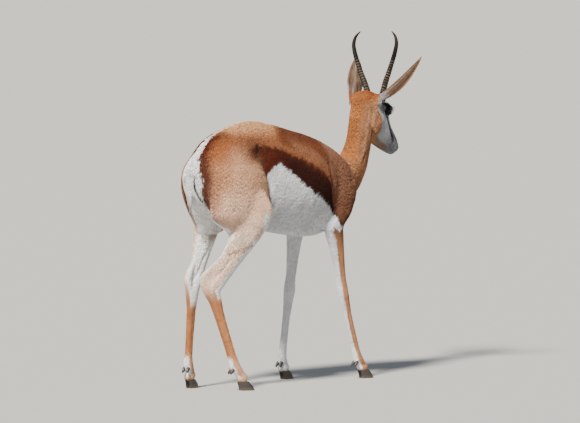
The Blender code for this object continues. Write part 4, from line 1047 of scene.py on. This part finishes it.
def earColours(inHead, normals, name, fine):
    share, across, ray = onEar(inHead, name)
    turned = np.array(headPlace.to_3x3().normalized())
    outer = np.sum((normals @ turned) * ray, axis=1)
    colour = np.tile(tone["ear"], (len(share), 1)).astype(float)
    streak = ripple(np.c_[across * 0.02, share * 0.022, across * 0.0], 0.0042, 61 if name == "left" else 62)
    right = name == "right"
    fold = np.exp(-((across - (0.02 if right else 0.12)) / 0.10) ** 2)
    colour = blended(colour, (0.30, 0.205, 0.140), 0.65 * fold + 0.35 * ramp(streak, 0.1, 0.9))
    colour = blended(colour, (0.050, 0.030, 0.020), 0.8 * ramp(-streak, 0.0, 0.8) * (1 - 0.6 * fold))
    if right:
        colour = blended(colour, (0.045, 0.026, 0.018), 0.75 * np.exp(-((np.abs(across) - 0.62) / 0.16) ** 2) * ramp(share, 0.08, 0.3))
        # Painted shade: the white root of the right ear is painted blue-grey.
        colour = blended(colour, (0.29, 0.30, 0.32), (1 - ramp(share + 0.05 * fine, 0.05, 0.20)) * 0.85)
    else:
        colour = blended(colour, tone["crown"], (1 - ramp(share + 0.05 * fine, 0.02, 0.16)) * 0.85)
        colour = blended(colour, (0.60, 0.58, 0.56), (1 - ramp(share, 0.22, 0.40)) * ramp(np.abs(across), 0.62, 0.80) * 0.9)
    inside = blended(np.tile(tone["earInside"], (len(share), 1)).astype(float), (0.20, 0.13, 0.11), ramp(np.cos(across * 8), 0.2, 0.9) * 0.5)
    colour = np.where((outer > 0)[:, None], colour, inside)
    rim = ramp(np.abs(across), 0.80, 0.94) + ramp(share, 0.90, 0.97)
    return blended(colour, tone["earRim"], np.clip(rim, 0, 1) * 0.85)


def coatColours(figure, normals, region):
    inHead = headSpace(figure)
    fine = ripple(figure, 0.0085, 21)
    colour = trunkColours(figure, normals, fine)
    # regions fade into each other across their borders
    neckPart = ramp((figure - np.array((0.262, 0, 0.588))) @ np.array((0.575, 0.04, 0.817)), 0.02, 0.10) * ramp(figure[:, 0], 0.29, 0.33)
    neckPart = np.where(region == 1, np.maximum(neckPart, 0.35), neckPart * (region == 0))
    colour = blended(colour, neckColours(figure, normals), neckPart) if neckPart.any() else colour
    for number, name in ((4, "hindRight"), (5, "hindLeft"), (6, "foreRight"), (7, "foreLeft")):
        own = region == number
        if own.any():
            limb = legColours(figure[own], normals[own], name, fine[own])
            start = (0.50, 0.58) if number < 6 else (0.46, 0.52)
            amount = 1 - ramp(figure[own, 2], *start)
            mixed = blended(colour[own], limb, amount)
            inner = normals[own, 1] * (1 if number in (5, 7) else -1)
            if number < 6:
                mixed = blended(mixed, tone["white"], (1 - ramp(inner, -0.25, 0.05)) * (1 - amount) * (figure[own, 2] < 0.60))
            colour[own] = mixed
    colour = rumpColours(colour, figure, normals, fine)
    own = region == 3
    if own.any():
        _, y, z = figure[own].T
        hair = np.tile(tone["white"], (own.sum(), 1)).astype(float)
        tip = 1 - ramp(z + 0.004 * fine[own], 0.545, 0.570)
        colour[own] = blended(hair, (0.16, 0.13, 0.11), tip * 0.8)
    udder = (figure[:, 2] < 0.480) & (np.abs(figure[:, 1]) < 0.040) & (figure[:, 0] > -0.170) & (figure[:, 0] < -0.072) & (region == 0)
    colour = blended(colour, tone["udder"], udder * 0.9)
    own = region == 2
    if own.any():
        amount = ramp(inHead[own, 0], -0.035, 0.010)
        base = neckColours(figure[own], normals[own])
        colour[own] = blended(base, headColours(figure[own], inHead[own], normals[own], fine[own]), amount)
    for name, sign in (("left", 1), ("right", -1)):
        own = (region == 8) & (inHead[:, 1] * sign > 0)
        if own.any():
            colour[own] = earColours(inHead[own], normals[own], name, fine[own])
    return np.clip(colour, 0.003, 0.9)


skin, fleshNodes = makeSkin()
skinPoints, skinNormals = pointsOf(skin.data), normalsOf(skin.data)
skinRegion = labelled(skinPoints, fleshNodes)
leaves = {name: makeEar(name) for name in earShapes}
lids = [makeLid(1), makeLid(-1)]
print("ears and lids made")


# The coat: closed three-sided locks in joined meshes, each rooted on the skin and laid along it
coatPieces = {
    # wanted number of locks and a seed for each piece
    "coatRump": (15500, 1), "coatLoin": (14500, 2), "coatRibs": (14500, 3), "coatShoulder": (15000, 4),
    "coatNeck": (16500, 5), "coatHead": (18500, 6), "coatEars": (9000, 7), "coatTail": (2600, 8),
    "coatHindRight": (14500, 9), "coatHindLeft": (14500, 10), "coatForeRight": (7500, 11), "coatForeLeft": (7500, 12),
}
lockLook = {"flat": 0.34, "turn": 0.16, "clump": 0.22, "tint": 0.10, "sunk": 0.0006}


def pieceOf(figure, region):
    x = figure[:, 0]
    trunk = np.select([x < -0.14, x < 0.015, x < 0.165], [0, 1, 2], 3)
    table = np.array([0, 4, 5, 7, 8, 9, 10, 11, 6])
    return np.where(region == 0, trunk, table[region])


# The way the hair lies at each place, before it is turned into the surface
def coatLie(figure, normals, region):
    x, y, z = figure.T
    flank = ramp(np.abs(normals[:, 1]), 0.2, 0.8)
    lie = np.c_[np.full(len(x), -1.0), np.zeros(len(x)), -0.22 - 0.45 * flank]
    lie = blended(lie, (-1, 0, 0), ramp(-normals[:, 2], 0.4, 0.8))
    lie = blended(lie, (-0.35, 0, -1), 1 - ramp(x, -0.30, -0.16))
    lie = blended(lie, (-0.35, 0, -1), (1 - ramp(x, -0.14, -0.08)) * (1 - ramp(z, 0.60, 0.70)))
    lie = blended(lie, (-0.45, 0, -0.9), ramp(x, 0.14, 0.22))
    lie = blended(lie, (0.05, 0, -1), ramp(x, 0.27, 0.32) * (1 - ramp(z, 0.66, 0.74)))
    neck = (region == 1)
    lie[neck] = (-0.575, -0.04, -0.817)
    turned = np.array(headPlace.to_3x3().normalized())
    inHead = headSpace(figure)
    head = region == 2
    backward = blended(np.tile(-turned[:, 0], (len(x), 1)), (-0.35, -0.02, -0.9), 1 - ramp(inHead[:, 0], -0.02, 0.045))
    lie[head] = backward[head]
    lie[region == 3] = (-0.12, 0, -1)
    legs = region > 3
    down = np.c_[-0.35 * ramp(z, 0.40, 0.55), np.zeros(len(z)), -np.ones(len(z))]
    lie[legs] = down[legs]
    for name, sign in (("left", 1), ("right", -1)):
        own = (region == 8) & (inHead[:, 1] * sign > 0)
        along = turned @ earAxes(name)[1]
        lie[own] = along
    lie -= normals * np.sum(lie * normals, axis=1)[:, None]
    return unit(lie)


# Length, width and lift of the locks
def lockSizes(figure, inHead, region, colour):
    x, y, z = figure.T
    hx = inHead[:, 0]
    length = np.full(len(x), 0.0125)
    width = np.full(len(x), 0.0023)
    lift = np.full(len(x), 0.0024)
    pale = ramp(colour.min(axis=1), 0.45, 0.65)
    rump = pale * (x < -0.2) * (z > 0.50) * (region != 3)
    length += 0.0060 * rump + 0.0015 * pale * (z < 0.60) * (x < 0.16)
    lift += 0.0008 * rump
    neck = region == 1
    length[neck], width[neck], lift[neck] = 0.0115, 0.0019, 0.0024
    head = region == 2
    length[head] = (0.0036 + 0.0062 * (1 - ramp(hx, 0.02, 0.13)))[head]
    width[head] = (0.00085 + 0.0008 * (1 - ramp(hx, 0.02, 0.13)))[head]
    lift[head] = (0.0007 + 0.0013 * (1 - ramp(hx, 0.02, 0.12)))[head]
    tail = region == 3
    length[tail], width[tail], lift[tail] = 0.014, 0.0018, 0.0022
    legs = region > 3
    high = ramp(z, 0.22, 0.52)
    length[legs], width[legs] = (0.0062 + 0.0055 * high)[legs], (0.00125 + 0.0009 * high)[legs]
    lift[legs] = (0.0008 + 0.0015 * high)[legs]
    low = legs & (z < 0.05)
    length[low] *= 0.7
    near = 1 - 0.62 * (1 - ramp(besideTail(figure), 0.006, 0.018)) * (x < -0.28)
    length, width = length * near, width * near ** 0.5
    ear = region == 8
    length[ear], width[ear], lift[ear] = 0.0060, 0.0010, 0.0007
    return length, width, lift


# A flat map of the skin's own shape for each piece: round it by angle, along it by length
def unwrapped(figure, inHead, region):
    x, y, z = figure.T
    flat = np.c_[np.arctan2(y, z - 0.60), x]
    own = region == 1
    axis = unit(np.array([(0.176, 0.012, 0.250)]))[0]
    off = figure - np.array((0.262, 0, 0.588))
    flat[own] = np.c_[np.arctan2(off[:, 1], off @ np.array((-0.82, 0, 0.57))), off @ axis][own]
    own = region == 2
    flat[own] = np.c_[np.arctan2(inHead[:, 1], inHead[:, 2] + 0.008), inHead[:, 0]][own]
    own = region == 3
    flat[own] = np.c_[np.arctan2(y, -x - 0.338), z][own]
    for number, name in ((4, "hindRight"), (5, "hindLeft"), (6, "foreRight"), (7, "foreLeft")):
        own = region == number
        if not own.any():
            continue
        path = np.array(legBones[name]["path"])
        heights = path[::-1, 2]
        middle = np.c_[np.interp(z[own], heights, path[::-1, 0]), np.interp(z[own], heights, path[::-1, 1])]
        ahead, across = legFrame(legBones[name])
        off = figure[own, :2] - middle
        flat[own] = np.c_[np.arctan2(off @ np.array(across)[:2], off @ np.array(ahead)[:2]), z[own]]
    for name, sign, left in (("left", 1, 0.0), ("right", -1, 5.0)):
        own = (region == 8) & (inHead[:, 1] * sign > 0)
        if own.any():
            share, across, ray = onEar(inHead[own], name)
            flat[own] = np.c_[left + across * 1.1, share]
    return flat


# Places spread evenly over the chosen triangles of a mesh
def scattered(points, normals, triangles, count, seed):
    dice = np.random.default_rng(seed)
    a, b, c = (points[triangles[:, k]] for k in range(3))
    area = np.linalg.norm(np.cross(b - a, c - a), axis=1) / 2
    total = np.cumsum(area)
    picked = np.searchsorted(total, (np.arange(count) + dice.random(count)) / count * total[-1])
    picked = np.minimum(picked, len(triangles) - 1)
    r, s = np.sqrt(dice.random(count)), dice.random(count)
    weights = np.c_[1 - r, r * (1 - s), r * s]
    spots = np.einsum("ij,ijk->ik", weights, points[triangles[picked]])
    facing = unit(np.einsum("ij,ijk->ik", weights, normals[triangles[picked]]))
    return spots, facing, triangles[picked, 0]


def trianglesOf(mesh):
    mesh.calc_loop_triangles()
    rows = np.empty(len(mesh.loop_triangles) * 3, dtype=np.int64)
    mesh.loop_triangles.foreach_get("vertices", rows)
    return rows.reshape(-1, 3)


# Mid points and tips are set down on the skin again, so that long locks follow its curves
def laidDown(tree, spots, facing):
    placed, normals = spots.copy(), facing.copy()
    for i, spot in enumerate(spots):
        found = tree.find_nearest(spot, 0.03)
        if found[0] is not None and found[1].dot(Vector(facing[i])) > 0.2:
            placed[i], normals[i] = found[0], found[1]
    return placed, normals


lockFaces = np.array([(0, 2, 1), (0, 1, 4), (0, 4, 3), (1, 2, 5), (1, 5, 4), (2, 0, 3), (2, 3, 5), (3, 4, 6), (4, 5, 6), (5, 3, 6)])
lockPatch = np.array([(-0.0015, -0.0015), (0.0015, -0.0015), (0, -0.0012), (-0.0011, 0), (0.0011, 0), (0, 0.0003), (0, 0.0015)])
# Each lock is darker at its root, painted shade between the locks, and lighter towards its tip.
lockShade = np.array([0.84, 0.84, 0.88, 0.98, 0.98, 1.02, 1.08])


# One mesh of locks from their roots, mid points and tips; corners are left, right and top at the root and the middle
def lockMesh(name, root, middle, tip, facing, lifted, beside, width, colour, flat):
    thick = width * lockLook["flat"]
    low = root - facing * lockLook["sunk"]
    rows = np.stack([
        low - beside * (0.30 * width)[:, None], low + beside * (0.30 * width)[:, None], root + facing * (0.6 * thick)[:, None],
        middle - beside * (0.5 * width)[:, None], middle + beside * (0.5 * width)[:, None], middle + lifted * thick[:, None], tip,
    ], axis=1)
    count = len(root)
    mesh = bpy.data.meshes.new(name)
    mesh.vertices.add(count * 7)
    mesh.vertices.foreach_set("co", rows.astype(np.float32).ravel())
    corners = (lockFaces[None] + 7 * np.arange(count)[:, None, None]).reshape(-1)
    mesh.loops.add(len(corners))
    mesh.loops.foreach_set("vertex_index", corners.astype(np.int32))
    mesh.polygons.add(count * 10)
    mesh.polygons.foreach_set("loop_start", np.arange(0, count * 30, 3, dtype=np.int32))
    mesh.polygons.foreach_set("use_smooth", np.ones(count * 10, dtype=bool))
    mesh.update(calc_edges=True)
    setColour(mesh, "coatColour", np.clip(colour[:, None] * lockShade[None, :, None], 0.002, 0.95).reshape(-1, 3))
    patch = (flat[:, None] + lockPatch[None]).reshape(-1, 2)
    mesh.uv_layers.new(name="OFBake").data.foreach_set("uv", patch[corners].astype(np.float32).ravel())
    made = bpy.data.objects.new(name, mesh)
    bpy.context.collection.objects.link(made)
    return made


def withinMap(flat):
    low, high = flat.min(axis=0), flat.max(axis=0)
    return 0.01 + 0.98 * (flat - low) / (high - low)


# Lashes along the upper lid, longest over the middle
def lashes(side, count=26):
    look, level, upper = (np.array(v) for v in eyeAxes(side))
    long, high = eyeLook["opening"]
    radius = headPose["eyeRadius"] * eyeLook["shell"] / headPose["scale"] * 1.02
    angle = np.linspace(math.radians(12), math.radians(158), count)
    edge = np.radians(1 / np.sqrt((np.cos(angle) / long) ** 2 + (np.sin(angle) / high) ** 2) * 0.97)
    around = np.cos(angle)[:, None] * level + np.sin(angle)[:, None] * upper
    ray = around * np.sin(edge)[:, None] + look * np.cos(edge)[:, None]
    root = np.array((eyeX, side * eyeY, eyeZ)) + ray * radius
    length = (0.0045 + 0.0055 * np.sin(angle)) / headPose["scale"]
    middle = root + (ray * 0.75 + around * 0.25) * (length * 0.5)[:, None]
    tip = root + (ray * 0.62 + around * 0.62) * length[:, None]
    turned = np.array(headPlace.to_3x3().normalized())
    spread = unit(np.cross(around, np.tile(look, (count, 1)))) @ turned.T
    return toScene(root), toScene(middle), toScene(tip), unit(ray @ turned.T), spread


def makeCoat(material):
    sources = [(skin.data, skinPoints, skinNormals, skinRegion)]
    for leaf in leaves.values():
        sources.append((leaf.data, pointsOf(leaf.data), normalsOf(leaf.data), np.full(len(leaf.data.vertices), 8)))
    points = np.concatenate([s[1] for s in sources])
    normals = np.concatenate([s[2] for s in sources])
    region = np.concatenate([s[3] for s in sources])
    starts = np.cumsum([0] + [len(s[1]) for s in sources])
    triangles = np.concatenate([trianglesOf(s[0]) + starts[k] for k, s in enumerate(sources)])
    figure = points + shift
    piece = pieceOf(figure, region)
    lie = coatLie(figure, normals, region)
    edges = np.concatenate([edgesOf(s[0]) + starts[k] for k, s in enumerate(sources)])
    lie = unit(averaged(lie, edges, 0.6, 30))
    tree = BVHTree.FromPolygons([Vector(p) for p in points], triangles.tolist())
    inHead = headSpace(figure)
    # nothing grows inside the sockets, on the nose pad, the teats or the soles
    socket = (np.linalg.norm(np.c_[inHead[:, 0] - eyeX, np.abs(inHead[:, 1]) - eyeY, inHead[:, 2] - eyeZ], axis=1)
              < headPose["eyeRadius"] / headPose["scale"] * 1.06)
    pad = (inHead[:, 0] > 0.2065) & (np.abs(inHead[:, 1]) < 0.008) & (inHead[:, 2] > -0.014)
    teats = (figure[:, 2] < 0.472) & (np.abs(figure[:, 1]) < 0.03) & (figure[:, 0] < -0.09) & (figure[:, 0] > -0.16)
    bare = socket | ((region == 2) & pad) | teats | (points[:, 2] < 0.004)
    for number, (name, (count, seed)) in enumerate(coatPieces.items()):
        own = (piece[triangles[:, 0]] == number) & ~bare[triangles].any(axis=1)
        spots, facing, corner = scattered(points, normals, triangles[own], count, seed)
        dice = np.random.default_rng(100 + seed)
        here = region[corner]
        spotFigure = spots + shift
        spotHead = headSpace(spotFigure)
        colour = coatColours(spotFigure, facing, here)
        length, width, lift = lockSizes(spotFigure, spotHead, here, colour)
        length = length * (0.75 + 0.5 * dice.random(count))
        width = width * (0.8 + 0.4 * dice.random(count))
        lift = lift * (0.55 + 0.6 * dice.random(count))
        turn = lockLook["turn"] * dice.normal(size=count) + lockLook["clump"] * ripple(spotFigure, 0.03, 50 + seed)
        way = lie[corner] - facing * np.sum(lie[corner] * facing, axis=1)[:, None]
        way = unit(way)
        beside = np.cross(facing, way)
        way = way * np.cos(turn)[:, None] + beside * np.sin(turn)[:, None]
        beside = np.cross(facing, way)
        middle, midNormal = laidDown(tree, spots + way * (0.48 * length)[:, None], facing)
        tip, tipNormal = laidDown(tree, spots + way * length[:, None], facing)
        middle = middle + midNormal * (0.62 * lift)[:, None]
        tip = tip + tipNormal * lift[:, None]
        tint = 1 + lockLook["tint"] * dice.normal(size=count) + 0.07 * ripple(spotFigure, 0.012, 70 + seed)
        colour = colour * np.clip(tint, 0.7, 1.35)[:, None]
        flat = withinMap(unwrapped(spotFigure, spotHead, here))
        if name == "coatHead":
            for side in (1, -1):
                r, m, t, f, b = lashes(side)
                spots, middle, tip = np.vstack([spots, r]), np.vstack([middle, m]), np.vstack([tip, t])
                facing, midNormal, beside = np.vstack([facing, f]), np.vstack([midNormal, f]), np.vstack([beside, b])
                width = np.r_[width, np.full(len(r), 0.0006)]
                colour = np.vstack([colour, np.tile(tone["black"], (len(r), 1))])
                flat = np.vstack([flat, np.c_[np.linspace(0.3, 0.35, len(r)) + 0.3 * (side > 0), np.full(len(r), 0.02)]])
        made = lockMesh(name, spots, middle, tip, facing, midNormal, beside, width, colour, flat)
        finish(made, material, "coat_white" if name == "coatTail" else "coat_fawn")
        print(name, "made,", count, "locks")


makeCoat(coatMaterial("shortCoat", False))
# Skin, ears and lids carry the same colours and become one piece
setColour(skin.data, "coatColour", coatColours(skinPoints + shift, skinNormals, skinRegion))
for number, group in ((8, list(leaves.values())), (2, lids)):
    for part in group:
        own = np.full(len(part.data.vertices), number)
        setColour(part.data, "coatColour", coatColours(pointsOf(part.data) + shift, normalsOf(part.data), own))
selectOnly(skin, *leaves.values(), *lids)
bpy.ops.object.join()
bpy.ops.object.shade_smooth()
finish(skin, coatMaterial("coatSkin", True), "coat_fawn", *fleshNodes, "ear_left", "ear_right")
print("skin finished,", len(skin.data.polygons), "faces")

# Camera at the photograph's angle, pale floor, soft light from high behind the animal's right hip
cameraLook = {"azimuth": -47, "elevation": 3.5, "distance": 18.0, "target": (0.041, -0.044, 0.515), "width": 1.731}
lightLook = {"toward": (-0.70, -0.22, 0.72), "sun": 9.6, "soft": 9, "sky": (0.74, 0.85, 1.0), "skyStrength": 0.36}

camera = bpy.data.objects.new("camera", bpy.data.cameras.new("camera"))
bpy.context.collection.objects.link(camera)
turn, tilt = math.radians(cameraLook["azimuth"]), math.radians(cameraLook["elevation"])
backward = Vector((math.sin(turn) * math.cos(tilt), -math.cos(turn) * math.cos(tilt), math.sin(tilt)))
camera.location = Vector(cameraLook["target"]) - toFigure + backward * cameraLook["distance"]
camera.rotation_mode = "QUATERNION"
camera.rotation_quaternion = (-backward).to_track_quat("-Z", "Y")
camera.data.sensor_width = 36
camera.data.lens = 36 * cameraLook["distance"] / cameraLook["width"]
camera.data.clip_start, camera.data.clip_end = 0.5, 500
bpy.context.scene.camera = camera

bpy.ops.mesh.primitive_plane_add(size=400, location=(0, 0, -0.0005))
floor = bpy.context.object
floor.name = "floor"
floorPaint, floorShader, place, add, into = nodeTools("paleFloor")
floorShader.inputs["Base Color"].default_value = (0.45, 0.435, 0.41, 1)
floorShader.inputs["Roughness"].default_value = 0.9
floor.data.materials.append(floorPaint)

world = bpy.data.worlds.new("studio")
bpy.context.scene.world = world
world.use_nodes = True
world.node_tree.nodes["Background"].inputs[0].default_value = (*lightLook["sky"], 1)
world.node_tree.nodes["Background"].inputs[1].default_value = lightLook["skyStrength"]
key = bpy.data.objects.new("key", bpy.data.lights.new("key", "SUN"))
bpy.context.collection.objects.link(key)
key.rotation_mode = "QUATERNION"
key.rotation_quaternion = Vector(lightLook["toward"]).to_track_quat("Z", "Y")
key.data.energy = lightLook["sun"]
key.data.color = (1.0, 0.965, 0.90)
key.data.angle = math.radians(lightLook["soft"])
print("floor, light and camera set")
